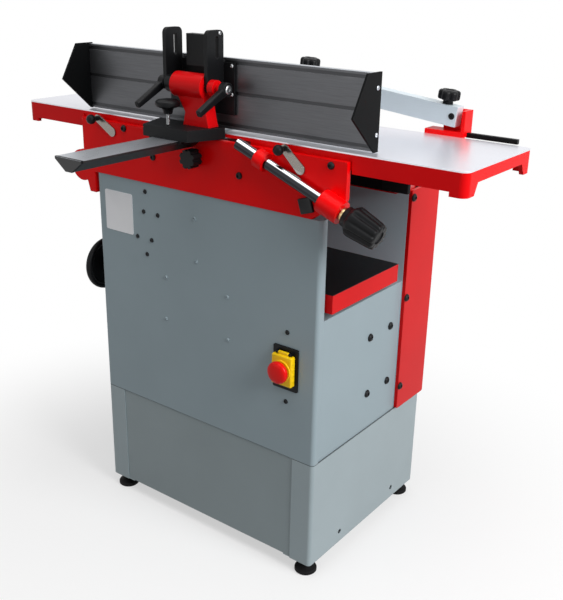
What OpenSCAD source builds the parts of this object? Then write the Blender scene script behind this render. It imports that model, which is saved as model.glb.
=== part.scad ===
// Combination planer thicknesser on a sheet steel cabinet, in millimetres.
// X runs along the planing tables, -Y is the side of the fence, Z is up from the floor.

/* [Main sizes] */
// Length of both planing tables together
table_l = 1085; // [1000:1:1200]
// Width of the planing tables
table_w = 263; // [230:1:300]
// Height of the table tops above the floor
table_top = 915; // [880:1:950]
// Length of the cabinet
cab_l = 592; // [540:1:640]
// Width of the cabinet
cab_w = 438; // [410:1:480]
// How far the cabinet centre lies behind the table centre
cab_shift = 22; // [0:1:40]
// Height of the cabinet body under the side castings
body_h = 510; // [480:1:540]
// Height of the plinth walls
plinth_h = 244; // [200:1:280]
// Gap between the floor and the plinth
foot_h = 32; // [20:1:45]
// Thickness of the sheet steel
sheet = 2; // [1:0.5:3]

/* [Tables] */
// Thickness of the planing table plates
plate_t = 9; // [7:0.5:12]
// Depth of the table aprons
apron_h = 36; // [28:1:42]
// Extra depth of the apron at the outer corners
lobe_h = 8; // [4:1:14]
// Wall of the aprons and ribs
apron_t = 8; // [6:0.5:11]
// Radius of the outer table corners
corner_r = 14; // [12:1:40]
// Gap from the cutter axis to each table lip
lip_gap = 34; // [32:0.5:40]
// Deepest planing cut
depth_cut = 3.5; // [1:0.1:4]

/* [Cutter] */
// Diameter of the cutter block
cutter_d = 74; // [68:1:78]
// How far the knives stand proud of the block
knife_out = 1; // [0.5:0.1:1.5]
// Number of knives
knife_count = 3; // [2:1:4]
// Diameter of the cutter journals
journal_d = 17; // [14:0.5:18]
// Outer diameter of the cutter bearings
bearing_d = 40; // [34:1:42]
// Diameter of the feed rollers
roller_d = 32; // [26:1:36]
// Diameter of the roller journals
roller_pin_d = 14; // [10:0.5:16]
// Distance from the cutter axis to each feed roller
roller_x = 75; // [68:1:78]

/* [Thicknesser] */
// Height of the thicknesser table top at rest
bed_top = 640; // [625:1:650]
// Depth of the thicknesser table edge
bed_edge = 38; // [30:1:40]
// Travel of the thicknesser table
bed_travel = 194; // [150:1:200]
// How far the thicknesser table stands out at the front end
bed_out = 15; // [5:1:25]
// Diameter of the lifting column
column_d = 60; // [40:1:70]
// Diameter of the lifting screw
screw_d = 24; // [18:1:28]
// Diameter of the height handwheel
wheel_d = 122; // [100:1:124]

/* [Fence] */
// Length of the fence
fence_l = 707; // [600:1:760]
// Height of the fence
fence_h = 132; // [120:1:145]
// Thickness of the fence extrusion
fence_t = 10; // [8:0.5:12]
// Distance from the near table edge to the fence face
fence_in = 32; // [29:1:40]
// Radius of the tilt barrel
barrel_r = 24; // [20:1:26]
// Length of the tilt barrel
barrel_l = 76; // [68:1:86]
// How far the guide bar reaches out from the cabinet
bar_out = 306; // [280:1:340]
// Width of the guide bar
bar_w = 66; // [56:1:80]
// Depth of the guide bar section
bar_h = 23; // [22:1:30]

/* [Guard] */
// Height of the guard arm section
arm_h = 38; // [32:1:48]
// Thickness of the guard arm
arm_t = 25; // [18:1:30]
// Angle at which the guard arm is parked
arm_angle = 6; // [2:0.5:9]
// Length of the guard blade
blade_l = 220; // [190:1:240]
// Width of the guard blade
blade_w = 90; // [80:1:110]

/* [Depth setting] */
// Slope of the depth setting rod and its ways
rod_angle = 21; // [18:0.5:22]
// Diameter of the depth setting rod
rod_d = 22; // [18:0.5:24]
// Diameter of the depth knob
knob_d = 58; // [48:1:62]
// Length of the depth knob
knob_l = 74; // [60:1:84]

/* [Hidden] */
$fn = 64;
red = "firebrick";
grey = "lightslategray";
pale_grey = "lightgray";
black = "dimgray";
steel = "silver";

// Overrun of every cut, and the running and seat clearances
over = 1;
run = 0.05;
slip = 0.3;
seat = 0.15;

// Frame datums
x_l = -cab_shift - cab_l / 2;
x_r = -cab_shift + cab_l / 2;
y_n = (bar_out - cab_w) / 2;
y_f = y_n + cab_w;
plinth_top = foot_h + plinth_h;
body_top = plinth_top + body_h;
table_in = 7;
ty_n = y_n + table_in;
ty_f = ty_n + table_w;
x_end = table_l / 2;
plate_low = table_top - plate_t;

// Side castings
cast_t = 12;
blind = 3;
bearing_w = cast_t - blind;
cast_proud = 2;
cast_drop = 6;
cast_top = plate_low - cast_drop;
cn_out = y_n - cast_proud;
cn_in = cn_out + cast_t;
cf_in = ty_f;
cf_out = cf_in + cast_t;
cast_over_l = 36;
cast_over_r = 49;
cast_x0 = x_l - cast_over_l;
cast_x1 = x_r + cast_over_r;

// Sheet steel work
fold_r = 8;
plinth_wrap = 52;
lap = 20;
flange_w = 70;
flange_t = 3;
top_flange = 18;
plinth_gap = 2;
foot_in_x = 26;
foot_in_y = 25;
foot_pad_d = 48;
foot_pad_h = 10;
foot_cone_h = 7;
stud_d = 10;
stud_up = 24;
nut_d = 19;
nut_h = 8;
kit_hole_d = 11;
kit_hole_span = 220;
kit_hole_z = 26;
kit_hole_y = 5;
base_t = 4;
ret_w = 19;
wall_in = 318;
wall_y = y_n + wall_in;
wall_flange = 22;
mouth_up = 308;
passage_low = plinth_top + mouth_up;
cover_lip = 25;
col_d = 8;
col_gap = 2;

// Cutter and rollers
cut_z = table_top - cutter_d / 2 - knife_out;
cut_gap = 6;
cut_y0 = cn_in + cut_gap;
cut_y1 = cf_in - cut_gap;
roller_z = cut_z - cutter_d / 2 + roller_d / 2 - knife_out;
pulley_in = 12;
pulley_y = wall_y + pulley_in;
pulley_w = 20;
cut_pulley_r = 20;
motor_pulley_r = 40;
belt_t = 5;
belt_w = 16;
motor_x = 150;
motor_r = 65;
motor_l = 205;
motor_foot = 35;
motor_z = plinth_top + base_t + motor_foot + motor_r;
shaft_d = 19;
tail = 3;
hood_in = 8;
hood_x = 70;
hood_far = 34;

// Thicknesser lift
bed_t = 12;
bed_side = 2;
bed_y0 = y_n + ret_w + bed_side + bed_side;
bed_y1 = cf_in - bed_side - bed_side;
bed_x0 = x_l + ret_w;
bed_x1 = x_r + bed_out;
bed_low = bed_top - bed_t;
lift_x = -cab_shift;
lift_y = (bed_y0 + bed_y1) / 2;
wheel_in = 57;
wheel_drop = 31;
wheel_y = y_n + wheel_in;
wheel_z = passage_low - wheel_drop;
bevel_r = 30;
bevel_tip_r = 16;
bevel_gap = 0.6;
nut_hub = 33;
nut_low = wheel_z - bevel_r - nut_hub;
bridge_t = 12;
bridge_w = 190;
sleeve_wall = 12;
sleeve_up = 70;
sleeve_down = 50;
wheel_shaft_d = 16;
wheel_off = 49;
wheel_rim_r = 7;
grip_d = 20;
grip_l = 55;

// Depth setting
rod_ahead = 31;
rod_out = 17;
rod_rise = 36;
rod_x = x_r + rod_ahead;
rod_y = y_n - rod_out;
rod_z = body_top + rod_rise;
rod_up = 228;
boss_d = 44;
boss_l = 44;
ring_d = 36;
ring_l = 22;
ring_up = 167;
stub_d = 12;
stub_l = 36;
collar_d = 26;
collar_l = 6.5;
rod_stick = 2;
rod_tail = boss_l / 2 + rod_stick;
way_from = 25;
way_drop = 22;
way_x0 = roller_x + way_from;
way_l = 100;
way_w = 12;
way_h = 10;
way_z0 = plate_low - way_drop;
depth_travel = depth_cut / sin(rod_angle);

// Clamp levers
lever_left_in = 58;
lever_left_drop = 20;
lever_left_l = 48;
lever_left_angle = 29;
lever_right_in = 49;
lever_right_drop = 26;
lever_right_l = 48;
lever_right_angle = 42;
lever_hub_r = 10;
lever_tip_r = 8;
lever_t = 3;
lever_pin_d = 8;
ball_r = 10;
ball_neck_d = 10;
ball_neck = 12;
lever_left = [x_l + lever_left_in, cast_top - lever_left_drop, lever_left_l, lever_left_angle];
lever_right = [x_r - lever_right_in, cast_top - lever_right_drop, lever_right_l, lever_right_angle];

// Fence carriage
fence_y = ty_n + fence_in;
fence_gap = 3;
fence_low = table_top + fence_gap;
fence_back = fence_y - fence_t;
mount_t = 6;
barrel_gap = 10;
head_x = -24;
head_y = fence_back - mount_t - barrel_gap - barrel_r;
head_up = 83;
head_z = table_top + head_up;
carriage_x = -40;
bar_drop = 3;
bar_top = plate_low - bar_drop;
carriage_low = bar_top + slip;
carriage_up = 10;
carriage_gap = 4;
carriage_top = table_top + carriage_up;
carriage_in = ty_n - carriage_gap;
carriage_l = 76;
carriage_w_out = 114;
carriage_w_in = 168;
tilt_pin_d = 14;
neck_x = -5;
neck_w = 64;
neck_waist = 52;
neck_t = 28;
cheek_t = 8;
cheek_gap = 1;
ear_r = 11;
ear_boss_l = 18;
ear_boss_r = 17;
collar_out = 13;
handle_out = 27;
handle_hub_l = 15;
handle_hub_d = 26;
handle_l = 84;
handle_drop = 26;

// Guard
pivot_x = 376;
pivot_up = 37;
arm_gap = 2;
pivot_z = table_top + pivot_up;
arm_y = ty_f + arm_gap;
arm_past = 10;
arm_reach = pivot_x + arm_past;
arm_end = 10;
pivot_d = 12;
blade_past = 10;
blade_t = 3;
blade_rise = 8;
rail_w = 12;
rail_h = 7;

// Corner to corner box
module box(a, b) {
    translate(a) cube([b[0] - a[0], b[1] - a[1], b[2] - a[2]]);
}

// Round bars along the three axes
module bar_x(p, d, l) {
    translate(p) rotate([0, 90, 0]) cylinder(d = d, h = l);
}

module bar_y(p, d, l) {
    translate(p) rotate([-90, 0, 0]) cylinder(d = d, h = l);
}

module bar_z(p, d, l) {
    translate(p) cylinder(d = d, h = l);
}

// An outline in X and Z drawn out along Y
module along_y(y0, y1) {
    translate([0, y1, 0]) rotate([90, 0, 0]) linear_extrude(y1 - y0) children();
}

// An outline in Y and Z drawn out along X
module along_x(x0, x1) {
    translate([x0, 0, 0]) rotate([90, 0, 90]) linear_extrude(x1 - x0) children();
}

// Rounded rectangle from corner to corner
module round_rect(a, b, r) {
    translate([a[0] + r, a[1]]) square([b[0] - a[0] - 2 * r, b[1] - a[1]]);
    translate([a[0], a[1] + r]) square([b[0] - a[0], b[1] - a[1] - 2 * r]);
    for (x = [a[0] + r, b[0] - r]) {
        for (y = [a[1] + r, b[1] - r]) {
            translate([x, y]) circle(r);
        }
    }
}

// Plan of the cabinet shell, one sheet thick
module shell_plan() {
    difference() {
        round_rect([x_l, y_n], [x_r, y_f], fold_r);
        round_rect([x_l + sheet, y_n + sheet], [x_r - sheet, y_f - sheet], fold_r - sheet);
    }
}

// Work on the axis of the depth setting rod, measured down the slope
module on_rod(s) {
    translate([rod_x, rod_y, rod_z]) rotate([0, 90 + rod_angle, 0]) translate([0, 0, s]) children();
}

// Folded sheet ends of the plinth, with flanges for the feet and the base plate
module plinth_end(right) {
    edge_x = right ? x_r : x_l;
    way = right ? -1 : 1;
    low_x = right ? x_r - plinth_wrap : x_l - over;
    high_x = right ? x_r + over : x_l + plinth_wrap;
    in_a = edge_x + way * sheet;
    foot_x = edge_x + way * foot_in_x;
    difference() {
        union() {
            translate([0, 0, foot_h]) linear_extrude(plinth_h) intersection() {
                shell_plan();
                translate([low_x, y_n - over]) square([high_x - low_x, cab_w + 2 * over]);
            }
            box([min(edge_x + way * fold_r, edge_x + way * flange_w), y_n + sheet, foot_h],
                [max(edge_x + way * fold_r, edge_x + way * flange_w), y_f - sheet, foot_h + flange_t]);
            box([min(in_a, edge_x + way * fold_r), y_n + fold_r, foot_h],
                [max(in_a, edge_x + way * fold_r), y_f - fold_r, foot_h + flange_t]);
            box([min(in_a, edge_x + way * top_flange), y_n + fold_r, plinth_top - sheet],
                [max(in_a, edge_x + way * top_flange), y_f - fold_r, plinth_top]);
        }
        for (y = [y_n + foot_in_y, y_f - foot_in_y]) {
            bar_z([foot_x, y, foot_h - over], stud_d + 2 * seat, flange_t + 2 * over);
        }
        for (s = [-1, 1]) {
            bar_x([min(in_a, edge_x) - over, (y_n + y_f) / 2 + kit_hole_y + s * kit_hole_span / 2, foot_h + kit_hole_z],
                kit_hole_d, sheet + 2 * over);
        }
    }
}

module plinth_ends() {
    color(pale_grey) {
        plinth_end(true);
        plinth_end(false);
    }
}

// Inset centre panels of the plinth, lapped behind the folded ends
module plinth_sides() {
    x0 = x_l + plinth_wrap - lap;
    x1 = x_r - plinth_wrap + lap;
    color(pale_grey) {
        box([x0, y_n + sheet, foot_h + flange_t], [x1, y_n + 2 * sheet, plinth_top - plinth_gap]);
        box([x0, y_f - 2 * sheet, foot_h + flange_t], [x1, y_f - sheet, plinth_top - plinth_gap]);
    }
}

// Levelling feet: pad, stud and the two nuts that grip the plinth flange
module levelling_feet() {
    color(black) for (x = [x_l + foot_in_x, x_r - foot_in_x]) {
        for (y = [y_n + foot_in_y, y_f - foot_in_y]) {
            translate([x, y, 0]) {
                cylinder(d = foot_pad_d, h = foot_pad_h);
                translate([0, 0, foot_pad_h]) cylinder(d1 = foot_pad_d, d2 = nut_d, h = foot_cone_h);
                cylinder(d = stud_d, h = foot_h + flange_t + stud_up);
                translate([0, 0, foot_h - nut_h]) cylinder(d = nut_d, h = nut_h, $fn = 6);
                translate([0, 0, foot_h + flange_t]) cylinder(d = nut_d, h = nut_h, $fn = 6);
            }
        }
    }
}

// Floor of the cabinet, carried by the plinth flanges
module base_plate() {
    color(grey) box([x_l + sheet + seat, y_n + fold_r, plinth_top],
        [x_r - sheet - seat, y_f - fold_r, plinth_top + base_t]);
}

// Long side panels with a rounded fold and a narrow return at both ends
module side_panel(y_from, y_to) {
    translate([0, 0, plinth_top]) linear_extrude(body_h) intersection() {
        shell_plan();
        translate([x_l - over, y_from]) square([cab_l + 2 * over, y_to - y_from]);
    }
}

module panel_near() {
    color(grey) side_panel(y_n - over, y_n + ret_w);
}

module panel_far() {
    color(grey) side_panel(y_f - ret_w, y_f + over);
}

// Front cover under the thicknesser mouth, lapped behind the returns
module cover_front() {
    x1 = x_r - sheet;
    y0 = y_n + fold_r;
    y1 = wall_y;
    color(grey) {
        box([x1 - sheet, y0, plinth_top + base_t], [x1, y1, passage_low]);
        box([x1 - cover_lip, y0, passage_low - sheet], [x1, y1, passage_low]);
    }
}

// Rear cover with the bush of the handwheel shaft, closing the drive bay as well
module cover_rear() {
    x0 = x_l + sheet;
    y0 = y_n + fold_r;
    bush_d = wheel_shaft_d + 2 * cast_t;
    bush_l = cast_t;
    color(grey) difference() {
        union() {
            box([x0, y0, plinth_top + base_t], [x0 + sheet, y_f - fold_r, passage_low]);
            box([x0, wall_y + sheet, plinth_top + base_t], [x0 + sheet, y_f - fold_r, body_top - sheet]);
            box([x0, y0, passage_low - sheet], [x0 + cover_lip, wall_y, passage_low]);
            bar_x([x0 - bush_l, wheel_y, wheel_z], bush_d, bush_l + sheet);
        }
        bar_x([x0 - bush_l - over, wheel_y, wheel_z], wheel_shaft_d + 2 * run, bush_l + sheet + 2 * over);
    }
}

// Wall between the thicknesser chamber and the drive bay, with its shelf
module chamber_wall() {
    belt_slot = hood_x - sheet;
    color(grey) difference() {
        union() {
            box([x_l + 2 * sheet, wall_y, plinth_top + base_t], [x_r - sheet, wall_y + sheet, body_top]);
            box([x_r - sheet, wall_y, plinth_top + base_t], [x_r, wall_y + wall_flange, body_top]);
            translate([0, 0, body_top - sheet]) linear_extrude(sheet) intersection() {
                round_rect([x_l + sheet, y_n + sheet], [x_r - sheet, y_f - sheet], fold_r - sheet);
                translate([x_l + 2 * sheet, cf_in]) square([cab_l - 4 * sheet, y_f - cf_in]);
            }
        }
        bar_y([motor_x, wall_y - over, motor_z], shaft_d + cast_t, sheet + 2 * over);
        box([-belt_slot, pulley_y - 2 * sheet, body_top - sheet - over],
            [belt_slot, pulley_y + pulley_w + 2 * sheet, body_top + over]);
    }
}

// Red folded tray on the front end that covers the drive bay
module drive_column() {
    z0 = plinth_top + col_gap;
    z1 = body_top - sheet;
    color(red) difference() {
        along_x(x_r, x_r + col_d) round_rect([wall_y, z0], [y_f, z1], fold_r / 2);
        along_x(x_r - over, x_r + col_d - sheet)
            round_rect([wall_y + sheet, z0 + sheet], [y_f - sheet, z1 - sheet], fold_r / 4);
    }
}

// Hood over the upper belt run, standing on the shelf beside the far casting
module belt_cover() {
    z1 = cast_top + cast_drop;
    y0 = cf_out + hood_in;
    y1 = pulley_y + pulley_w + hood_far;
    color(red) difference() {
        translate([0, 0, body_top]) linear_extrude(z1 - body_top)
            round_rect([-hood_x, y0], [hood_x, y1], fold_r);
        translate([0, 0, body_top - over]) linear_extrude(z1 - body_top - sheet + over)
            round_rect([-hood_x + sheet, y0 + sheet], [hood_x - sheet, y1 - sheet], fold_r - sheet);
        bar_y([0, y0 - over, cut_z], journal_d + cast_t, sheet + 2 * over);
    }
}

// Outline of a side casting in X and Z
module casting_outline() {
    heel_r = 34;
    heel_out = 8;
    heel_up = 9;
    toe_w = 22;
    toe_h = 46;
    nose_in = 22;
    nose_up = 50;
    nose_r = 14;
    nose_z = body_top + nose_up;
    polygon([[cast_x0, cast_top], [cast_x1, cast_top], [cast_x1, nose_z], [x_r - nose_in, body_top],
        [cast_x0, body_top]]);
    translate([cast_x0 - heel_out, body_top + heel_up]) circle(heel_r);
    polygon([[cast_x0, body_top + over], [x_l - 2 * sheet, body_top + over], [x_l - 2 * sheet, body_top - toe_h],
        [x_l - toe_w, body_top - toe_h]]);
    translate([cast_x1 - nose_r, nose_z]) circle(nose_r);
}

// Inclined way for a table cheek, from the top of the slope down
module way_outline(x0, l, drop, h) {
    fall = l * tan(rod_angle);
    top = way_z0 - (x0 - way_x0) * tan(rod_angle) - drop;
    polygon([[x0, top], [x0 + l, top - fall], [x0 + l, top - fall - h], [x0, top - h]]);
}

// Seats of the cutter bearing and the roller journals, shared by both castings
module casting_bores(y0, l) {
    bar_y([0, y0, cut_z], bearing_d, l);
    for (x = [-roller_x, roller_x]) {
        bar_y([x, y0, roller_z], roller_pin_d + 2 * run, l);
    }
}

module casting_near() {
    color(red) difference() {
        union() {
            along_y(cn_out, cn_in) casting_outline();
            along_y(cn_in - over, cn_in + way_w) way_outline(way_x0, way_l, seat, way_h);
            on_rod(-boss_l / 2) cylinder(d = boss_d, h = boss_l);
            on_rod(-ring_up - ring_l / 2) cylinder(d = ring_d, h = ring_l);
        }
        casting_bores(cn_out + blind, cast_t - blind + over);
        on_rod(-rod_up - over) cylinder(d = rod_d + 2 * run, h = rod_up + boss_l + 2 * over);
        for (p = [lever_left, lever_right]) {
            bar_y([p[0], cn_out - over, p[1]], lever_pin_d + 2 * run, cast_t + 2 * over);
        }
        bar_y([bar_knob_at[0], cn_out - over, bar_knob_at[1]], lever_pin_d + 2 * run, cast_t + 2 * over);
    }
}

module casting_far() {
    color(red) difference() {
        union() {
            intersection() {
                along_y(cf_in, cf_out) casting_outline();
                box([x_l + 2 * sheet, cf_in - over, body_top], [cast_x1 + over, cf_out + over, cast_top]);
            }
            along_y(cf_in - way_w, cf_in + over) way_outline(way_x0, way_l, seat, way_h);
        }
        casting_bores(cf_in - over, cast_t + 2 * over);
    }
}

// Top plate of a planing table with round outer corners
module table_plate(way) {
    x0 = lip_gap;
    translate([0, 0, plate_low]) linear_extrude(plate_t) intersection() {
        round_rect([min(way * x0 - way * 2 * corner_r, way * x_end), ty_n],
            [max(way * x0 - way * 2 * corner_r, way * x_end), ty_f], corner_r);
        translate([min(way * x0, way * (x_end + over)), ty_n - over])
            square([x_end + over - x0, table_w + 2 * over]);
    }
}

// Apron ring of a planing table, cut higher along the end, deeper at the outer corners
module table_apron(way, x_in) {
    x0 = min(way * x_in, way * x_end);
    x1 = max(way * x_in, way * x_end);
    low = table_top - apron_h - lobe_h;
    rise = 13;
    lobe_l = 30;
    flank = 12;
    difference() {
        translate([0, 0, low]) linear_extrude(plate_low - low) difference() {
            intersection() {
                round_rect([x0 - 2 * corner_r, ty_n], [x1 + 2 * corner_r, ty_f], apron_t);
                round_rect([min(way * (x_in - 4 * corner_r), way * x_end), ty_n],
                    [max(way * (x_in - 4 * corner_r), way * x_end), ty_f], corner_r);
                translate([x0, ty_n - over]) square([x1 - x0, table_w + 2 * over]);
            }
            intersection() {
                round_rect([min(way * (x_in - 4 * corner_r), way * (x_end - apron_t)), ty_n + apron_t],
                    [max(way * (x_in - 4 * corner_r), way * (x_end - apron_t)), ty_f - apron_t],
                    corner_r - apron_t);
                translate([x0 - over, ty_n]) square([x1 - x0 + 2 * over, table_w]);
            }
        }
        box([min(way * (x_in - over), way * (x_end - lobe_l)), ty_n - over, low - over],
            [max(way * (x_in - over), way * (x_end - lobe_l)), ty_f + over, low + lobe_h]);
        along_x(min(way * (x_end - lobe_l), way * (x_end + over)), max(way * (x_end - lobe_l), way * (x_end + over)))
            polygon([[ty_n + lobe_l, low - over], [ty_f - lobe_l, low - over], [ty_f - lobe_l - flank, low + lobe_h + rise],
                [ty_n + lobe_l + flank, low + lobe_h + rise]]);
    }
    for (share = rib_shares) {
        x = x_in + share * (x_end - x_in);
        box([way * x - apron_t / 2, ty_n + apron_t, low + 2 * lobe_h], [way * x + apron_t / 2, ty_f - apron_t, plate_low]);
    }
}

rib_shares = [0.08, 0.45];

module outfeed_table() {
    x_in = -cast_x0 + 2 * cast_proud;
    cheek_from = 30;
    cheek_drop = 30;
    cheek_x0 = roller_x + cheek_from;
    cheek_low = cast_top - cheek_drop;
    color(red) {
        table_plate(-1);
        table_apron(-1, x_in);
        for (y = [cn_in, cf_in - way_w]) {
            box([-x_in - apron_t, y, cheek_low], [-cheek_x0, y + way_w, plate_low]);
        }
    }
}

module infeed_table() {
    x_in = cast_x1 + 2 * cast_proud;
    color(red) {
        table_plate(1);
        table_apron(1, x_in);
        for (y = [cn_in + slip, cf_in - way_w]) {
            along_y(y, y + way_w - slip) polygon([[way_x0, plate_low], [way_x0, way_z0],
                [way_x0 + way_l, way_z0 - way_l * tan(rod_angle)], [x_in + apron_t, plate_low - apron_h / 2],
                [x_in + apron_t, plate_low]]);
        }
    }
}

// Depth setting rod, fixed in the two bosses, with a stub for the knob
module guide_rod() {
    color(steel) {
        on_rod(-rod_up) cylinder(d = rod_d, h = rod_up + rod_tail);
        on_rod(rod_tail) cylinder(d = stub_d, h = stub_l);
    }
}

module depth_collar() {
    color("goldenrod") on_rod(rod_tail) difference() {
        cylinder(d = collar_d, h = collar_l);
        translate([0, 0, -over]) cylinder(d = stub_d + 2 * run, h = collar_l + 2 * over);
    }
}

// Tapered knob with flutes around its grip
module depth_knob() {
    flutes = 10;
    flute_d = 9;
    neck_l = 12;
    tip_l = 5;
    color(black) on_rod(rod_tail + collar_l + slip) difference() {
        union() {
            cylinder(d = knob_d * neck_share, h = neck_l);
            translate([0, 0, neck_l]) linear_extrude(knob_l - neck_l - tip_l) difference() {
                circle(d = knob_d);
                for (i = [0 : flutes - 1]) {
                    rotate(i * 360 / flutes) translate([knob_d / 2, 0]) circle(d = flute_d);
                }
            }
            translate([0, 0, knob_l - tip_l]) cylinder(d1 = knob_d - flute_d - 2 * over, d2 = knob_d - 2 * flute_d, h = tip_l);
        }
        translate([0, 0, -over]) cylinder(d = stub_d + 2 * run, h = stub_l - collar_l + over);
    }
}

neck_share = 0.72;

// Cutter block on two ball bearings, with one knife seat per knife
module cutter_bearings() {
    color(steel) for (y = [cn_out + blind, cf_in]) {
        difference() {
            bar_y([0, y, cut_z], bearing_d, bearing_w);
            bar_y([0, y - over, cut_z], journal_d + 2 * run, bearing_w + 2 * over);
        }
    }
}

knife_w = 25;
knife_t = 3;
wedge_t = 9;
knife_lean = 35;

// Place one knife seat on the block, with its knife along +X of the seat
module knife_seat(i) {
    translate([0, 0, cut_z]) rotate([0, i * 360 / knife_count + knife_lean, 0]) children();
}

module cutter_block() {
    r = cutter_d / 2;
    y_end = pulley_y + pulley_w + tail;
    color(steel) difference() {
        union() {
            bar_y([0, cut_y0, cut_z], cutter_d, cut_y1 - cut_y0);
            bar_y([0, cn_out + blind + slip, cut_z], journal_d, cut_y0 - cn_out - blind - slip);
            bar_y([0, cut_y1, cut_z], journal_d, y_end - cut_y1);
        }
        for (i = [0 : knife_count - 1]) {
            knife_seat(i) box([r + knife_out - knife_w, cut_y0 - over, 0], [r + knife_w, cut_y1 + over, knife_t + wedge_t]);
        }
    }
}

// Knives with their ground edges, each held by its wedge bar
module knives() {
    r = cutter_d / 2;
    bevel = 2;
    color(steel) for (i = [0 : knife_count - 1]) {
        knife_seat(i) along_y(cut_y0, cut_y1) polygon([[r + knife_out - knife_w, 0], [r + knife_out, 0],
            [r + knife_out - bevel, knife_t], [r - knife_out - bevel, knife_t],
            [r - 2 * bevel - wedge_t / 2, knife_t + wedge_t], [r + knife_out - knife_w, knife_t + wedge_t]]);
    }
}

// Grooved pulley along Y
pulley_groove_shares = [0.2, 0.4, 0.6, 0.8];

module pulley(x, z, r, y, w) {
    groove_d = 2;
    difference() {
        bar_y([x, y, z], 2 * r, w);
        for (share = pulley_groove_shares) {
            translate([x, y + share * w, z]) rotate([-90, 0, 0]) rotate_extrude()
                translate([r, 0]) circle(d = groove_d, $fn = 24);
        }
    }
}

module cutter_pulley() {
    color(black) difference() {
        pulley(0, cut_z, cut_pulley_r, pulley_y, pulley_w);
        bar_y([0, pulley_y - over, cut_z], journal_d + 2 * run, pulley_w + 2 * over);
    }
}

// Motor with cooling fins, end bells, terminal box and foot, on the cabinet floor
module motor_body() {
    y0 = wall_y - motor_l - sheet;
    y1 = wall_y - sheet;
    bell = 28;
    fins = 9;
    fin_h = 5;
    box_w = 70;
    box_l = 80;
    box_h = 34;
    foot_w = 120;
    pitch = (motor_l - 2 * bell) / (fins + 1);
    color(black) difference() {
        union() {
            bar_y([motor_x, y0, motor_z], 2 * motor_r - 2 * fin_h, motor_l);
            bar_y([motor_x, y0, motor_z], 2 * motor_r, bell);
            bar_y([motor_x, y1 - bell, motor_z], 2 * motor_r, bell);
            for (i = [1 : fins]) {
                bar_y([motor_x, y0 + bell + i * pitch - sheet, motor_z], 2 * motor_r, 2 * sheet);
            }
            box([motor_x - box_w / 2, y0 + bell, motor_z],
                [motor_x + box_w / 2, y0 + bell + box_l, motor_z + motor_r + box_h / 2]);
            box([motor_x - foot_w / 2, y0 + bell, plinth_top + base_t], [motor_x + foot_w / 2, y1 - bell, motor_z - motor_r / 2]);
        }
        bar_y([motor_x, y1 - bell, motor_z], shaft_d + 2 * run, bell + over);
    }
}

module motor_pulley() {
    shaft_in = 24;
    y_shaft = wall_y - sheet - shaft_in;
    color(steel) {
        bar_y([motor_x, y_shaft, motor_z], shaft_d, pulley_y + pulley_w + tail - y_shaft);
        pulley(motor_x, motor_z, motor_pulley_r, pulley_y, pulley_w);
    }
}

// Half ring of the belt round one pulley, on the side that turns away from the other
module belt_arc(r, lean) {
    rotate(lean) intersection() {
        difference() {
            circle(r + belt_t);
            circle(r + slip);
        }
        children();
    }
}

// Flat belt loop: an arc on each pulley and the two straight runs between their tangents
module drive_belt() {
    y0 = pulley_y + (pulley_w - belt_w) / 2;
    dz = motor_z - cut_z;
    span = sqrt(motor_x * motor_x + dz * dz);
    lean = atan2(dz, motor_x);
    turn = acos((cut_pulley_r - motor_pulley_r) / span);
    run_l = sqrt(span * span - (cut_pulley_r - motor_pulley_r) * (cut_pulley_r - motor_pulley_r));
    far_r = 2 * (motor_pulley_r + belt_t);
    color(black) {
        along_y(y0, y0 + belt_w) translate([0, cut_z]) belt_arc(cut_pulley_r, lean) polygon([[0, 0],
            far_r * [cos(turn), sin(turn)], far_r * [-1, 1], far_r * [-1, -1], far_r * [cos(turn), -sin(turn)]]);
        along_y(y0, y0 + belt_w) translate([motor_x, motor_z]) belt_arc(motor_pulley_r, lean) polygon([[0, 0],
            far_r * [cos(turn), -sin(turn)], far_r * [1, -1], far_r * [1, 1], far_r * [cos(turn), sin(turn)]]);
        for (s = [-1, 1]) {
            along_y(y0, y0 + belt_w) translate([0, cut_z]) rotate(lean + s * (turn - 90))
                translate([-over, s > 0 ? cut_pulley_r + slip + seat : -cut_pulley_r - belt_t + seat])
                square([run_l + 2 * over, belt_t - slip - 2 * seat]);
        }
    }
}

// Feed roller with its journals in both castings
module feed_roller(x) {
    sprocket_d = 46;
    sprocket_w = 5;
    bar_y([x, cut_y0, roller_z], roller_d, cut_y1 - cut_y0);
    bar_y([x, cn_out + blind + slip, roller_z], roller_pin_d, cut_y0 - cn_out - blind - slip);
    bar_y([x, cut_y1, roller_z], roller_pin_d, cf_out + sprocket_w + over - cut_y1);
    bar_y([x, cf_out + over, roller_z], sprocket_d, sprocket_w);
}

module roller_front() {
    color(steel) feed_roller(roller_x);
}

module roller_rear() {
    color(steel) feed_roller(-roller_x);
}

// Cross bridge with the column sleeve and the bearing of the handwheel shaft
module lift_bridge() {
    z1 = nut_low - slip;
    z0 = z1 - bridge_t;
    sleeve_d = column_d + 2 * sleeve_wall;
    block_l = 20;
    block_w = 40;
    block_off = 55;
    block_x = lift_x - bevel_r - block_off;
    color(grey) difference() {
        union() {
            box([lift_x - bridge_w / 2, y_n + sheet, z0], [lift_x + bridge_w / 2, wall_y, z1]);
            bar_z([lift_x, lift_y, z0 - sleeve_down], sleeve_d, sleeve_down + bridge_t + sleeve_up);
            box([block_x, wheel_y - block_w / 2, z1 - over], [block_x + block_l, wheel_y + block_w / 2, wheel_z + block_w / 2]);
        }
        bar_z([lift_x, lift_y, z0 - sleeve_down - over], column_d + 2 * run, sleeve_down + bridge_t + sleeve_up + 2 * over);
        bar_z([lift_x, wheel_y, z0 - over], screw_d + 2 * over, bridge_t + 2 * over);
        bar_x([block_x - over, wheel_y, wheel_z], wheel_shaft_d + 2 * run, block_l + 2 * over);
    }
}

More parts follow.
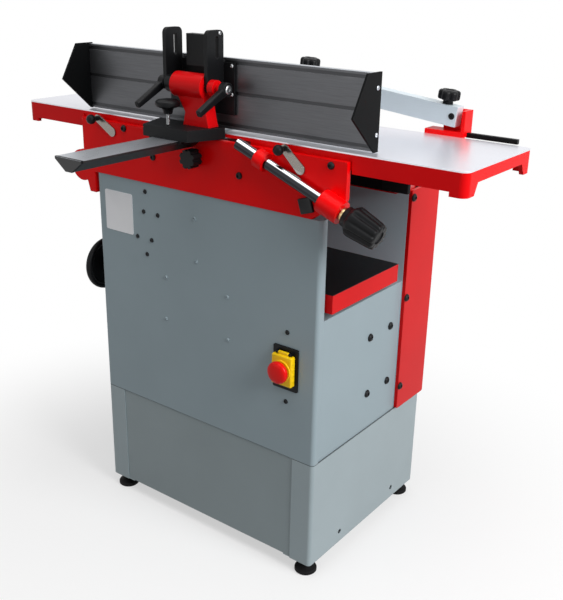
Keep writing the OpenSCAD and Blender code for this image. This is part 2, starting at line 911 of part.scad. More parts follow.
// Bevel nut that turns on the lifting screw
module lift_nut() {
    color(steel) translate([lift_x, wheel_y, nut_low]) difference() {
        union() {
            cylinder(d = 2 * (bevel_r - bevel_tip_r / 2), h = nut_hub - bevel_gap);
            translate([0, 0, nut_hub - bevel_gap])
                cylinder(r1 = bevel_r, r2 = bevel_tip_r, h = bevel_r - bevel_tip_r);
        }
        translate([0, 0, -over]) cylinder(d = screw_d + 2 * run, h = nut_hub + bevel_r);
    }
}

// Thicknesser table: a flat plate with a deep edge all round and cross ribs
module thicknesser_table() {
    z0 = bed_top - bed_edge;
    rib = apron_t;
    color(red) difference() {
        box([bed_x0, bed_y0, z0], [bed_x1, bed_y1, bed_top]);
        for (i = [0 : len(bed_bay_shares) - 2]) {
            x0 = bed_x0 + bed_bay_shares[i] * (bed_x1 - bed_x0) + rib / 2;
            x1 = bed_x0 + bed_bay_shares[i + 1] * (bed_x1 - bed_x0) - rib / 2;
            box([x0, bed_y0 + rib, z0 - over], [x1, bed_y1 - rib, bed_low]);
        }
    }
}

bed_bay_shares = [0.01, 0.33, 0.62, 0.99];

module lift_column() {
    z0 = nut_low - slip - bridge_t - sleeve_down - bed_travel + column_d;
    color(steel) bar_z([lift_x, lift_y, z0], column_d, bed_low - z0);
}

module lift_screw() {
    z0 = nut_low - bed_travel + nut_hub / 2;
    color(steel) bar_z([lift_x, wheel_y, z0], screw_d, bed_low - z0);
}

// Dished handwheel with its shaft and bevel pinion
module handwheel() {
    wheel_x = x_l - wheel_off;
    rim_r = wheel_d / 2 - wheel_rim_r;
    hub_d = 34;
    hub_l = 30;
    web_t = 6;
    pinion_x = lift_x - bevel_r - bevel_gap;
    grip_r = rim_r - wheel_rim_r;
    color(black) difference() {
        union() {
            translate([wheel_x, wheel_y, wheel_z]) rotate([0, 90, 0]) rotate_extrude()
                translate([rim_r, 0]) circle(wheel_rim_r, $fn = 32);
            bar_x([wheel_x - web_t / 2, wheel_y, wheel_z], 2 * rim_r, web_t);
            bar_x([wheel_x - hub_l / 2, wheel_y, wheel_z], hub_d, hub_l);
            bar_x([wheel_x, wheel_y, wheel_z], wheel_shaft_d, pinion_x - wheel_x);
            translate([pinion_x - bevel_tip_r, wheel_y, wheel_z]) rotate([0, 90, 0])
                cylinder(r1 = bevel_tip_r, r2 = bevel_r, h = bevel_tip_r);
            translate([pinion_x, wheel_y, wheel_z]) rotate([0, 90, 0])
                cylinder(r1 = bevel_r, r2 = bevel_tip_r, h = bevel_r - bevel_tip_r);
            bar_x([wheel_x - web_t / 2 - grip_l, wheel_y + grip_r, wheel_z], grip_d / 2, grip_l);
        }
        for (i = [1 : 3]) {
            translate([wheel_x - web_t, wheel_y, wheel_z]) rotate([i * 90, 0, 0])
                bar_x([0, rim_r * web_hole_share, 0], rim_r * web_hole_share / 2, 2 * web_t);
        }
    }
}

web_hole_share = 0.62;

// Grip that turns on the handwheel's crank pin
module handwheel_grip() {
    wheel_x = x_l - wheel_off;
    web_t = 6;
    rim_r = wheel_d / 2 - wheel_rim_r;
    grip_r = rim_r - wheel_rim_r;
    color(black) difference() {
        bar_x([wheel_x - web_t / 2 - grip_l - tail, wheel_y + grip_r, wheel_z], grip_d, grip_l - wheel_rim_r);
        bar_x([wheel_x - web_t / 2 - grip_l, wheel_y + grip_r, wheel_z], grip_d / 2 + 2 * run, grip_l + over);
    }
}

// Flat clamp lever close to the casting, rising to the left from its pin
module clamp_lever(p) {
    y1 = cn_out - slip;
    color(steel) translate([p[0], 0, p[1]]) rotate([0, p[3], 0]) {
        along_y(y1 - lever_t, y1) {
            circle(lever_hub_r);
            polygon([[0, lever_hub_r], [-p[2], lever_tip_r], [-p[2], -lever_tip_r], [0, -lever_hub_r]]);
            translate([-p[2], 0]) circle(lever_tip_r);
        }
        bar_y([0, y1 - lever_t, 0], lever_pin_d, lever_t + cast_t);
    }
}

module lever_left() {
    clamp_lever(lever_left);
}

module lever_right() {
    clamp_lever(lever_right);
}

// Ball on its neck at the free end of a clamp lever
module lever_ball(p) {
    y1 = cn_out - slip - lever_t;
    color(black) translate([p[0], 0, p[1]]) rotate([0, p[3], 0]) translate([-p[2], 0, 0]) {
        bar_y([0, y1 - ball_neck, 0], ball_neck_d, ball_neck);
        translate([0, y1 - ball_neck - ball_r / 2, 0]) sphere(ball_r);
    }
}

module lever_left_ball() {
    lever_ball(lever_left);
}

module lever_right_ball() {
    lever_ball(lever_right);
}

// Bolt heads and the square plug on the near casting, measured from the cabinet's left end
casting_bolt_at = [[92, 9], [174, 57], [401, 60], [608, 10]];
bolt_head_d = 14;
bolt_head_h = 5;

plug_w = 31;
plug_at = [558, 24];

module casting_bolts() {
    plug_x = x_l + plug_at[0];
    plug_z = body_top + plug_at[1];
    color(black) {
        for (p = casting_bolt_at) {
            bar_y([x_l + p[0], cn_out - bolt_head_h, cast_top - p[1]], bolt_head_d, bolt_head_h);
        }
        along_y(cn_out - bolt_head_h, cn_out) round_rect([plug_x - plug_w / 2, plug_z - plug_w / 2],
            [plug_x + plug_w / 2, plug_z + plug_w / 2], bolt_head_h);
    }
}

// Screws and rivets of the near panel, measured from its left end and its top
panel_screw_at = [[145, 20], [139, 64], [180, 65], [118, 122], [160, 123], [145, 157], [521, 236], [521, 386]];
panel_rivet_at = [[283, 53], [286, 143], [199, 197], [369, 200], [196, 293], [370, 294]];
screw_head_d = 11;
rivet_d = 9;
screw_h = 2.5;

module panel_screws() {
    color(black) for (p = panel_screw_at) {
        bar_y([x_l + p[0], y_n - screw_h, body_top - p[1]], screw_head_d, screw_h);
    }
}

module panel_rivets() {
    color(steel) for (p = panel_rivet_at) {
        bar_y([x_l + p[0], y_n - screw_h, body_top - p[1]], rivet_d, screw_h);
    }
}

// Screws of the front end, measured from the near face and in shares of the body height from its top
cover_screw_at = [198, 280];
cover_screw_shares = [0.577, 0.833];
column_screw_at = 325;
column_screw_shares = [0.035, 0.471, 0.888];

module end_screws() {
    color(black) {
        for (y = cover_screw_at) {
            for (share = cover_screw_shares) {
                bar_x([x_r - sheet, y_n + y, body_top - share * body_h], bolt_head_d, bolt_head_h);
            }
        }
        for (share = column_screw_shares) {
            bar_x([x_r + col_d, y_n + column_screw_at, body_top - share * body_h], bolt_head_d, bolt_head_h);
        }
    }
}

// Switch on the near panel
switch_in = 72;
switch_up = 198;
switch_x = x_r - switch_in;
switch_z = plinth_top + switch_up;
switch_w = 60;
switch_h = 92;
switch_t = 3;
lid_w = 48;
lid_h = 64;
lid_t = 14;
lid_rim = 3;
stop_d = 40;
stop_stem_d = 20;
stop_stand = 7;
stop_h = 12;

module switch_plate() {
    rise = lid_h / 2 + lid_rim;
    color(black) {
        along_y(y_n - switch_t, y_n) round_rect([switch_x - switch_w / 2, switch_z - switch_h / 2],
            [switch_x + switch_w / 2, switch_z + switch_h / 2], switch_t);
        for (s = [-1, 1]) {
            bar_x([switch_x + s * lid_w / 3 - lid_rim, y_n - switch_t - 2 * lid_rim, switch_z + rise], 2 * lid_rim, 2 * lid_rim);
            box([switch_x + s * lid_w / 3 - lid_rim, y_n - switch_t - 2 * lid_rim, switch_z + rise - lid_rim],
                [switch_x + s * lid_w / 3 + lid_rim, y_n - switch_t, switch_z + rise + lid_rim]);
        }
    }
}

// Hinged lid with a hollow back and a hole for the stop button
module switch_lid() {
    y1 = y_n - switch_t - slip;
    rise = lid_h / 2 + lid_rim;
    span = 2 * lid_w / 3 - 2 * lid_rim - 2 * slip;
    color("gold") {
        difference() {
            along_y(y1 - lid_t, y1) round_rect([switch_x - lid_w / 2, switch_z - lid_h / 2],
                [switch_x + lid_w / 2, switch_z + lid_h / 2 - slip], lid_rim);
            along_y(y1 - lid_t + lid_rim, y1 + over) round_rect(
                [switch_x - lid_w / 2 + lid_rim, switch_z - lid_h / 2 + lid_rim],
                [switch_x + lid_w / 2 - lid_rim, switch_z + lid_h / 2 - lid_rim], lid_rim);
            bar_y([switch_x, y1 - lid_t - over, switch_z], stop_stem_d + 2 * run, lid_t);
        }
        box([switch_x - span / 2, y_n - switch_t - 3 * lid_rim, switch_z + lid_h / 2 - lid_rim],
            [switch_x + span / 2, y_n - switch_t - slip - lid_rim / 2, switch_z + rise + lid_rim]);
    }
}

module stop_button() {
    y1 = y_n - switch_t - slip - lid_t;
    color(red) {
        bar_y([switch_x, y1 - stop_stand, switch_z], stop_stem_d, stop_stand + lid_rim + stop_stand / 2);
        translate([switch_x, y1 - stop_stand, switch_z]) rotate([90, 0, 0]) {
            cylinder(d = stop_d, h = stop_h / 2);
            translate([0, 0, stop_h / 2]) cylinder(d1 = stop_d, d2 = stop_d - stop_h, h = stop_h / 2);
        }
    }
}

// Guide bar of the fence, bolted to the near casting
bar_side_share = 0.18;
bar_keel_share = 0.24;

module guide_bar() {
    w = bar_w / 2;
    k = w * bar_keel_share;
    color(steel) along_y(y_n - bar_out, cn_out) translate([carriage_x, bar_top])
        polygon([[-w, 0], [w, 0], [w, -bar_h * bar_side_share], [k, -bar_h], [-k, -bar_h], [-w, -bar_h * bar_side_share]]);
}

// Carriage that runs on the guide bar, with skirts beside the bar
module carriage_plate() {
    y1 = carriage_in;
    y0 = y1 - carriage_l;
    o = carriage_w_out / 2;
    i = carriage_w_in / 2;
    skirt = bar_h * bar_side_share;
    w = bar_w / 2 + slip;
    color(black) difference() {
        union() {
            translate([carriage_x, 0, carriage_low]) linear_extrude(carriage_top - carriage_low)
                polygon([[-o, y0], [o, y0], [i, y1], [-i, y1]]);
            for (s = [-1, 1]) {
                box([carriage_x + s * (w + apron_t / 2) - apron_t / 2, y0, carriage_low - skirt],
                    [carriage_x + s * (w + apron_t / 2) + apron_t / 2, cn_out - cast_proud, carriage_low + over]);
            }
        }
        bar_z([carriage_knob_at[0], carriage_knob_at[1], carriage_low - over], knob_stud_d + 2 * run,
            carriage_top - carriage_low + 2 * over);
    }
}

// Stations along the tilt axis: barrel, cheeks and handles
barrel_x0 = head_x - barrel_l / 2;
barrel_x1 = head_x + barrel_l / 2;
cheek_x0 = barrel_x0 - cheek_gap - ear_boss_l - cheek_t;
cheek_x1 = barrel_x1 + cheek_gap;
handle_x0 = cheek_x0 - cheek_gap - handle_hub_l;
handle_x1 = cheek_x1 + cheek_t + handle_out;

// Cast fence head: a flared neck that carries the tilt barrel, its pin and a collar
module fence_head() {
    z0 = carriage_top;
    half = neck_w / 2;
    waist = neck_waist / 2;
    z_waist = (z0 + head_z - barrel_r) / 2;
    collar_r = 15;
    color(red) {
        along_y(head_y - neck_t / 2, head_y + neck_t / 2) polygon([[neck_x - half, z0], [neck_x + half, z0],
            [neck_x + waist, z_waist], [barrel_x1, head_z - barrel_r / 2], [barrel_x1, head_z],
            [barrel_x0 + cheek_t, head_z], [barrel_x0 + cheek_t, head_z - barrel_r / 2], [neck_x - waist, z_waist]]);
        bar_x([barrel_x0, head_y, head_z], 2 * barrel_r, barrel_l);
        bar_x([handle_x0, head_y, head_z], tilt_pin_d, handle_x1 + handle_hub_l - handle_x0);
        bar_x([cheek_x1 + cheek_t + cheek_gap, head_y, head_z], 2 * collar_r, collar_out);
    }
}

// Fence extrusion with two hollow chambers and grooves along its back
groove_shares = [0.06, 0.52, 0.94];
chamber_shares = [[0.1, 0.47], [0.57, 0.9]];

module fence_plate() {
    wall = 2.5;
    groove_w = 7;
    groove_t = 2;
    color("slategray") along_x(-fence_l / 2, fence_l / 2) difference() {
        translate([fence_back, fence_low]) square([fence_t, fence_h]);
        for (share = groove_shares) {
            translate([fence_back - over, fence_low + share * fence_h - groove_w / 2]) square([groove_t + over, groove_w]);
        }
        for (share = chamber_shares) {
            translate([fence_back + wall, fence_low + share[0] * fence_h])
                square([fence_t - 2 * wall, (share[1] - share[0]) * fence_h]);
        }
    }
}

// Pointed end caps of the fence
cap_t = 4;
cap_top_w = 44;
cap_point = 85;
cap_point_share = 0.49;

module fence_caps() {
    rim = 2;
    color(black) for (s = [-1, 1]) {
        x0 = s > 0 ? fence_l / 2 : -fence_l / 2 - cap_t;
        along_x(x0, x0 + cap_t) polygon([[fence_y, fence_low - rim / 2], [fence_y, fence_low + fence_h + rim],
            [fence_y - cap_top_w, fence_low + fence_h + rim], [fence_y - cap_point, fence_low + fence_h * cap_point_share],
            [fence_back - rim, fence_low - rim / 2]]);
    }
}

// Tilting mount: back plate, two slotted cheeks on the tilt pin and the block between them
upright_top = 102;
upright_slot_w = 9;
upright_slot_l = 40;
upright_slot_in = 13;
mount_low = 28;
mount_left = 24;
mount_right = 27;
mount_up = 44;
block_w = 46;
block_x = -30;
block_low = 34;
block_up = 92;
block_t = 18;

module fence_mount() {
    y1 = fence_back - mount_t;
    slot_y = y1 - upright_slot_in;
    color(black) difference() {
        union() {
            box([cheek_x0 - mount_left, y1, fence_low + mount_low], [cheek_x1 + cheek_t + mount_right, fence_back, head_z + mount_up]);
            for (x = [cheek_x0, cheek_x1]) {
                along_x(x, x + cheek_t) round_rect([head_y - ear_r, head_z - ear_r], [y1 + over, head_z + upright_top], ear_r);
            }
            bar_x([cheek_x0 + cheek_t - over, head_y, head_z], 2 * ear_boss_r, ear_boss_l + over);
            box([block_x - block_w / 2, y1 - block_t, head_z + block_low], [block_x + block_w / 2, fence_back, head_z + mount_up]);
            box([block_x - block_w / 2, y1 - block_t, head_z + mount_up - over], [block_x + block_w / 2, y1, head_z + block_up]);
        }
        for (x = [cheek_x0, cheek_x1]) {
            along_x(x - over, x + cheek_t + over) round_rect(
                [slot_y - upright_slot_w, head_z + upright_top - ear_r - upright_slot_l],
                [slot_y, head_z + upright_top - ear_r], upright_slot_w * slot_round_share);
        }
        bar_x([cheek_x0 - over, head_y, head_z], tilt_pin_d + 2 * run, cheek_x1 + cheek_t - cheek_x0 + 2 * over);
    }
}

slot_round_share = 0.49;

// Clamp handle on one end of the tilt pin, a flat ended bar
module tilt_handle(x0) {
    arm_d = 15;
    tip_d = 13;
    color(black) translate([x0, head_y, head_z]) difference() {
        union() {
            bar_x([0, 0, 0], handle_hub_d, handle_hub_l);
            rotate([handle_drop, 0, 0]) translate([handle_hub_l / 2, 0, 0]) rotate([90, 0, 0])
                cylinder(d1 = arm_d, d2 = tip_d, h = handle_l);
        }
        bar_x([-over, 0, 0], tilt_pin_d + 2 * run, handle_hub_l + 2 * over);
    }
}

module tilt_handle_left() {
    tilt_handle(handle_x0);
}

module tilt_handle_right() {
    tilt_handle(handle_x1);
}

// Mushroom knob that clamps the carriage, and the round knob under it
knob_stud_d = 8;
carriage_knob_side = 20;
carriage_knob_out = 17;
carriage_knob_at = [carriage_x - carriage_knob_side, head_y - neck_t / 2 - carriage_knob_out];
carriage_knob_d = 48;
carriage_knob_stand = 30;
bar_knob_side = 16;
bar_knob_drop = 43;
bar_knob_at = [carriage_x + bar_knob_side, bar_top - bar_knob_drop];
bar_knob_d = 38;

module carriage_knob() {
    x = carriage_knob_at[0];
    y = carriage_knob_at[1];
    r = carriage_knob_d / 2;
    crown = r / 2;
    color(black) {
        bar_z([x, y, carriage_low], knob_stud_d, carriage_top - carriage_low + carriage_knob_stand);
        translate([x, y, carriage_top + carriage_knob_stand]) {
            cylinder(d1 = knob_stud_d * 2, d2 = carriage_knob_d, h = crown / 2);
            translate([0, 0, crown / 2]) cylinder(r = r, h = crown / 2);
            translate([0, 0, crown]) cylinder(r1 = r, r2 = r - crown, h = crown / 2);
        }
    }
}

module bar_knob() {
    lobes = 8;
    lobe_d = 7;
    knob_t = 24;
    stand = 6;
    color(black) translate([bar_knob_at[0], cn_out, bar_knob_at[1]]) {
        bar_y([0, -stand, 0], lever_pin_d, stand + cast_t);
        bar_y([0, -stand, 0], bar_knob_d / 2, stand - slip);
        difference() {
            bar_y([0, -stand - knob_t, 0], bar_knob_d, knob_t);
            for (i = [0 : lobes - 1]) {
                rotate([0, i * 360 / lobes, 0]) bar_y([bar_knob_d / 2, -stand - knob_t - over, 0], lobe_d, knob_t + 2 * over);
            }
        }
    }
}

// Guard bracket on the far edge of the front table: base, back cheek with the pivot pin, end wall and side bar
module guard_bracket() {
    foot_l = 82;
    foot_t = 9;
    wall_t = 7;
    wall_gap = 22;
    cheek_l = 56;
    top_up = 12;
    x1 = pivot_x + wall_gap + wall_t;
    x0 = x1 - foot_l;
    y0 = ty_f;
    y1 = arm_y + arm_t + slip;
    z0 = table_top - apron_h + lobe_h;
    rail_l = 102;
    rail_t = 8;
    rail_in = 14;
    color(red) {
        box([x0, y0, z0], [x1, y0 + wall_t, table_top + foot_t]);
        box([x0, y0, table_top], [x1, y1 + wall_t, table_top + foot_t]);
        box([x1 - cheek_l, y1, table_top], [x1, y1 + wall_t, pivot_z + top_up]);
        box([x1 - wall_t, arm_y, table_top], [x1, y1 + wall_t, pivot_z + top_up]);
        bar_y([pivot_x, arm_y, pivot_z], pivot_d, arm_t + 2 * slip + over);
        box([x1 - over, y0 + rail_in, table_top - over], [x1 + rail_l, y0 + rail_in + rail_t, table_top + rail_t]);
    }
}

// Work in the guard arm's own frame, with the arm level and the pivot at its origin
module on_arm() {
    translate([pivot_x, arm_y, pivot_z]) rotate([0, arm_angle, 0]) children();
}

module guard_arm() {
    top = arm_h / 2;
    rail_gap = rail_w + 2 * slip;
    x_blade = -pivot_x;
    color(pale_grey) on_arm() difference() {
        union() {
            along_y(0, arm_t) translate([-arm_reach, -arm_h / 2]) square([arm_reach + arm_end, arm_h]);
        }
        bar_y([0, -over, 0], pivot_d + 2 * run, arm_t + 2 * over);
        box([x_blade - rail_gap / 2, -over, -top - over], [x_blade + rail_gap / 2, arm_t + over, -top + rail_h]);
    }
}

// Crowned guard blade with a rail that runs in the arm's groove
module guard_blade() {
    w = blade_w / 2;
    top = -arm_h / 2 - sheet / 2;
    y0 = arm_t + blade_past - blade_l;
    x = -pivot_x;
    color(pale_grey) on_arm() translate([x, 0, 0]) {
        along_y(y0, y0 + blade_l) polygon([[-w, top - blade_rise], [-w / 2, top], [w / 2, top], [w, top - blade_rise],
            [w - blade_t, top - blade_rise], [w / 2, top - blade_t], [-w / 2, top - blade_t],
            [-w + blade_t, top - blade_rise]]);
        along_y(y0, y0 + blade_l) translate([-rail_w / 2, top - over]) square([rail_w, rail_h - slip + over]);
    }
}

// Star knobs of the guard: one at the pivot, one over the blade
guard_knob_d = 42;
guard_knob_t = 18;
guard_knob_stand = 8;
guard_knob_lobes = 6;
knob_from_pivot = 18;
knob_from_blade = 32;

// One star knob standing on the arm, x back from the pivot
module star_knob(x) {
    color(black) on_arm() translate([x, arm_t / 2, arm_h / 2]) {
        cylinder(d = guard_knob_d / 2, h = guard_knob_stand);
        translate([0, 0, guard_knob_stand]) linear_extrude(guard_knob_t) difference() {
            circle(d = guard_knob_d);
            for (i = [0 : guard_knob_lobes - 1]) {
                rotate(i * 360 / guard_knob_lobes) translate([guard_knob_d / 2, 0]) circle(d = guard_knob_d / 4);
            }
        }
    }
}

module guard_knob_arm() {
    star_knob(-knob_from_pivot);
}

module guard_knob_blade() {
    star_knob(knob_from_blade - pivot_x);
}

plinth_ends();
plinth_sides();
levelling_feet();
base_plate();
panel_near();
panel_far();
cover_front();
cover_rear();
chamber_wall();
drive_column();
belt_cover();
casting_near();
casting_far();
outfeed_table();
infeed_table();
guide_rod();
depth_knob();
depth_collar();
cutter_bearings();
cutter_block();
knives();
cutter_pulley();
motor_body();
motor_pulley();
drive_belt();
roller_front();
roller_rear();
lift_bridge();
lift_nut();
thicknesser_table();
lift_column();
lift_screw();
handwheel();
handwheel_grip();
lever_left();
lever_left_ball();
lever_right();
lever_right_ball();
casting_bolts();
panel_screws();
panel_rivets();
end_screws();
switch_plate();
switch_lid();
stop_button();
guide_bar();
carriage_plate();
fence_head();
fence_plate();
fence_caps();
fence_mount();
tilt_handle_left();
tilt_handle_right();
carriage_knob();
bar_knob();
guard_bracket();
guard_arm();
guard_blade();
guard_knob_arm();
guard_knob_blade();
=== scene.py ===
import math
import bmesh
import bpy
from mathutils import Matrix, Vector


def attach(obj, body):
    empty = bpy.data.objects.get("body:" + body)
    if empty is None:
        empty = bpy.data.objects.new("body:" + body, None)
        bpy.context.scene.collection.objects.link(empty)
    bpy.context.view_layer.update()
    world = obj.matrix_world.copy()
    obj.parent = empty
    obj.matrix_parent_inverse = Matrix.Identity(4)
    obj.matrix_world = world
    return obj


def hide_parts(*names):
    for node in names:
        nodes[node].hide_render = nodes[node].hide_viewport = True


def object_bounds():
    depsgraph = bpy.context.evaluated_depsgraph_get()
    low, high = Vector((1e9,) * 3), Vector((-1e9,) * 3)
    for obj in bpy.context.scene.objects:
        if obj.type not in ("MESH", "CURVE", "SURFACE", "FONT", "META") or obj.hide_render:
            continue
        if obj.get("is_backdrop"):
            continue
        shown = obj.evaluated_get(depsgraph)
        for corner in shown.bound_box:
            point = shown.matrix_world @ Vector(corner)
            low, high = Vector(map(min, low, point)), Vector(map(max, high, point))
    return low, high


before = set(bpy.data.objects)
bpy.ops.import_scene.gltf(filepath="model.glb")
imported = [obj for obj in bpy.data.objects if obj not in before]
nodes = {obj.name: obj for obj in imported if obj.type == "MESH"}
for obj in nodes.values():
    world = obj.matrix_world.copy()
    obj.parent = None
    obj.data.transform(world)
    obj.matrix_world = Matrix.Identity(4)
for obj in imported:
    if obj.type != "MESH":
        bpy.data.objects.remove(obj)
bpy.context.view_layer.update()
print("frame loaded:", len(nodes), "nodes")

# datums of the machine, in metres
datum = {
    "left": -0.318, "right": 0.274, "near": -0.066, "far": 0.372,
    "bodyTop": 0.786, "castingTop": 0.900, "castingFace": -0.068,
}
mm = 0.001
upward, nearward, rightward = (0, 0, 1), (0, -1, 0), (1, 0, 0)


def tone(red, green, blue):
    # screen colour to linear light
    def straight(v):
        v = v / 255
        return v / 12.92 if v <= 0.04045 else ((v + 0.055) / 1.055) ** 2.4
    return (straight(red), straight(green), straight(blue), 1)


def shade(colour, share):
    return tuple(min(1, c * share) for c in colour[:3]) + (1,)


# shader groups shared by the finishes
grain = {
    "bevelSamples": 4, "flatMetal": 0.995, "foldMiddle": 0.80,
    "patchScale": 60, "patchDetail": 4, "patchFrom": 0.42, "patchTo": 0.66,
    "fineDetail": 3, "cloudDetail": 5, "noiseLow": 0.3, "noiseHigh": 0.7,
    "streakShade": 0.55, "wornShade": 1.6, "coatRough": 0.12,
}


def addNode(tree, kind, inputs=None, **settings):
    node = tree.nodes.new("ShaderNode" + kind)
    for key, value in settings.items():
        setattr(node, key, value)
    for label, value in (inputs or {}).items():
        node.inputs[label].default_value = value
    return node


def feed(tree, socket, value):
    # a linked output, or a plain value
    if hasattr(value, "is_output"):
        tree.links.new(value, socket)
    else:
        socket.default_value = value


def startGroup(name, inputs, outputs):
    tree = bpy.data.node_groups.new(name, "ShaderNodeTree")
    for label, kind, value in inputs:
        socket = tree.interface.new_socket(name=label, in_out="INPUT", socket_type=kind)
        socket.default_value = value
    for label, kind in outputs:
        tree.interface.new_socket(name=label, in_out="OUTPUT", socket_type=kind)
    return tree, tree.nodes.new("NodeGroupInput"), tree.nodes.new("NodeGroupOutput")


def makeEdgeGroup():
    tree, enter, leave = startGroup(
        "roundedEdge", [("Radius", "NodeSocketFloat", 0.001)],
        [("Normal", "NodeSocketVector"), ("Edge", "NodeSocketFloat")])
    link = tree.links.new
    soft = addNode(tree, "Bevel", samples=grain["bevelSamples"])
    real = addNode(tree, "NewGeometry")
    dot = addNode(tree, "VectorMath", operation="DOT_PRODUCT")
    turn = addNode(tree, "MapRange", {"From Min": grain["flatMetal"], "From Max": grain["foldMiddle"]})
    place = addNode(tree, "TexCoord")
    patch = addNode(tree, "TexNoise", {"Scale": grain["patchScale"], "Detail": grain["patchDetail"]})
    keep = addNode(tree, "MapRange", {"From Min": grain["patchFrom"], "From Max": grain["patchTo"]})
    both = addNode(tree, "Math", operation="MULTIPLY")
    link(enter.outputs["Radius"], soft.inputs["Radius"])
    link(soft.outputs["Normal"], dot.inputs[0])
    link(real.outputs["Normal"], dot.inputs[1])
    link(dot.outputs["Value"], turn.inputs["Value"])
    link(place.outputs["Object"], patch.inputs["Vector"])
    link(patch.outputs["Fac"], keep.inputs["Value"])
    link(turn.outputs["Result"], both.inputs[0])
    link(keep.outputs["Result"], both.inputs[1])
    link(soft.outputs["Normal"], leave.inputs["Normal"])
    link(both.outputs["Value"], leave.inputs["Edge"])
    return tree


def makeGrainGroup():
    tree, enter, leave = startGroup(
        "surfaceGrain",
        [("Scale", "NodeSocketFloat", 300.0), ("Cloud", "NodeSocketFloat", 6.0),
         ("Stretch", "NodeSocketVector", (1, 1, 1))],
        [("Grain", "NodeSocketFloat"), ("Cloud", "NodeSocketFloat")])
    link = tree.links.new
    place = addNode(tree, "TexCoord")
    pull = addNode(tree, "VectorMath", operation="MULTIPLY")
    fine = addNode(tree, "TexNoise", {"Detail": grain["fineDetail"]})
    cloud = addNode(tree, "TexNoise", {"Detail": grain["cloudDetail"]})
    link(place.outputs["Object"], pull.inputs[0])
    link(enter.outputs["Stretch"], pull.inputs[1])
    link(pull.outputs["Vector"], fine.inputs["Vector"])
    link(enter.outputs["Scale"], fine.inputs["Scale"])
    link(place.outputs["Object"], cloud.inputs["Vector"])
    link(enter.outputs["Cloud"], cloud.inputs["Scale"])
    link(fine.outputs["Fac"], leave.inputs["Grain"])
    link(cloud.outputs["Fac"], leave.inputs["Cloud"])
    return tree


def makeAlongGroup(name, output, source, test, levels):
    # a place or a normal, read along an axis and put to a test
    inputs = [("Axis", "NodeSocketVector", upward)]
    inputs += [(label, "NodeSocketFloat", value) for label, value in levels.items()]
    tree, enter, leave = startGroup(name, inputs, [(output, "NodeSocketFloat")])
    link = tree.links.new
    place = addNode(tree, "TexCoord")
    along = addNode(tree, "VectorMath", operation="DOT_PRODUCT")
    link(place.outputs[source], along.inputs[0])
    link(enter.outputs["Axis"], along.inputs[1])
    check = addNode(tree, test[0], **test[1])
    link(along.outputs["Value"], check.inputs[0])
    for spot, label in enumerate(levels, 1):
        link(enter.outputs[label], check.inputs[spot])
    link(check.outputs[0], leave.inputs[output])
    return tree


groups = {
    "edge": makeEdgeGroup(),
    "grain": makeGrainGroup(),
    "zone": makeAlongGroup("zoneAlong", "Zone", "Object",
                           ("Math", {"operation": "GREATER_THAN"}), {"From": 0.0}),
    "stripe": makeAlongGroup("stripeAlong", "Stripe", "Object",
                             ("Math", {"operation": "COMPARE"}), {"Middle": 0.0, "Half": 0.002}),
    # share by how far a normal turns along the axis; it sets painted shade and painted reflection on
    # undersides
    "facing": makeAlongGroup("facingPaintedShade", "Facing", "Normal",
                             ("MapRange", {"interpolation_type": "SMOOTHSTEP"}), {"Low": 0.3, "High": 0.6}),
}


def useGroup(tree, key, **values):
    node = tree.nodes.new("ShaderNodeGroup")
    node.node_tree = groups[key]
    for label, value in values.items():
        node.inputs[label].default_value = value
    return node


def span(tree, value, low, high):
    node = addNode(tree, "MapRange", {"From Min": grain["noiseLow"], "From Max": grain["noiseHigh"],
                                      "To Min": low, "To Max": high})
    tree.links.new(value, node.inputs["Value"])
    return node.outputs["Result"]


# sockets of the Mix node: share, first, second and result
mixSockets = {"RGBA": (0, 6, 7, 2), "FLOAT": (0, 2, 3, 0)}


def mix(tree, kind, share, first, second):
    node = addNode(tree, "Mix", data_type=kind)
    for spot, value in zip(mixSockets[kind], (share, first, second)):
        feed(tree, node.inputs[spot], value)
    return node.outputs[mixSockets[kind][3]]


# what a look has unless it says otherwise
plainLook = {
    "cloud": 6, "stretch": (1, 1, 1), "edge": 0.001, "vary": 0.05, "roughVary": 0.05, "streak": 0,
    "paintedShadeLines": (), "wear": 0.25, "metal": 0.0, "sheen": 0.5, "gloss": 0, "bump": 0.08, "depth": 0.0004,
}


def coat(tree, look):
    # colour, roughness, height and normal of one look, before they meet the shader
    base = look["colour"]
    skin = useGroup(tree, "grain", Scale=look["scale"], Cloud=look["cloud"], Stretch=look["stretch"])
    rim = useGroup(tree, "edge", Radius=look["edge"])
    colour = mix(tree, "RGBA", span(tree, skin.outputs["Cloud"], 0, 1),
                 shade(base, 1 - look["vary"]), shade(base, 1 + look["vary"]))
    if look["streak"]:
        streak = span(tree, skin.outputs["Grain"], 0, look["streak"])
        colour = mix(tree, "RGBA", streak, colour, shade(base, grain["streakShade"]))
    # painted shade: dark lines at set heights, standing for shade in grooves and seams
    for middle in look["paintedShadeLines"]:
        stripe = useGroup(tree, "stripe", Middle=middle, Half=look["paintedShadeHalf"])
        colour = mix(tree, "RGBA", stripe.outputs["Stripe"], colour, shade(base, look["paintedShadeShare"]))
    # painted shade and painted reflection: faces turned down past the turn take the dark colour
    if "paintedShadeBelow" in look:
        lit = useGroup(tree, "facing", Low=look["turn"][0], High=look["turn"][1])
        colour = mix(tree, "RGBA", lit.outputs["Facing"], look["paintedShadeBelow"], colour)
    worn = addNode(tree, "Math", operation="MULTIPLY")
    worn.inputs[1].default_value = look["wear"]
    tree.links.new(rim.outputs["Edge"], worn.inputs[0])
    colour = mix(tree, "RGBA", worn.outputs[0], colour, look.get("worn", shade(base, grain["wornShade"])))
    spread = look["roughVary"]
    rough = span(tree, skin.outputs["Grain"], look["rough"] - spread, look["rough"] + spread)
    return colour, rough, skin.outputs["Grain"], rim.outputs["Normal"]


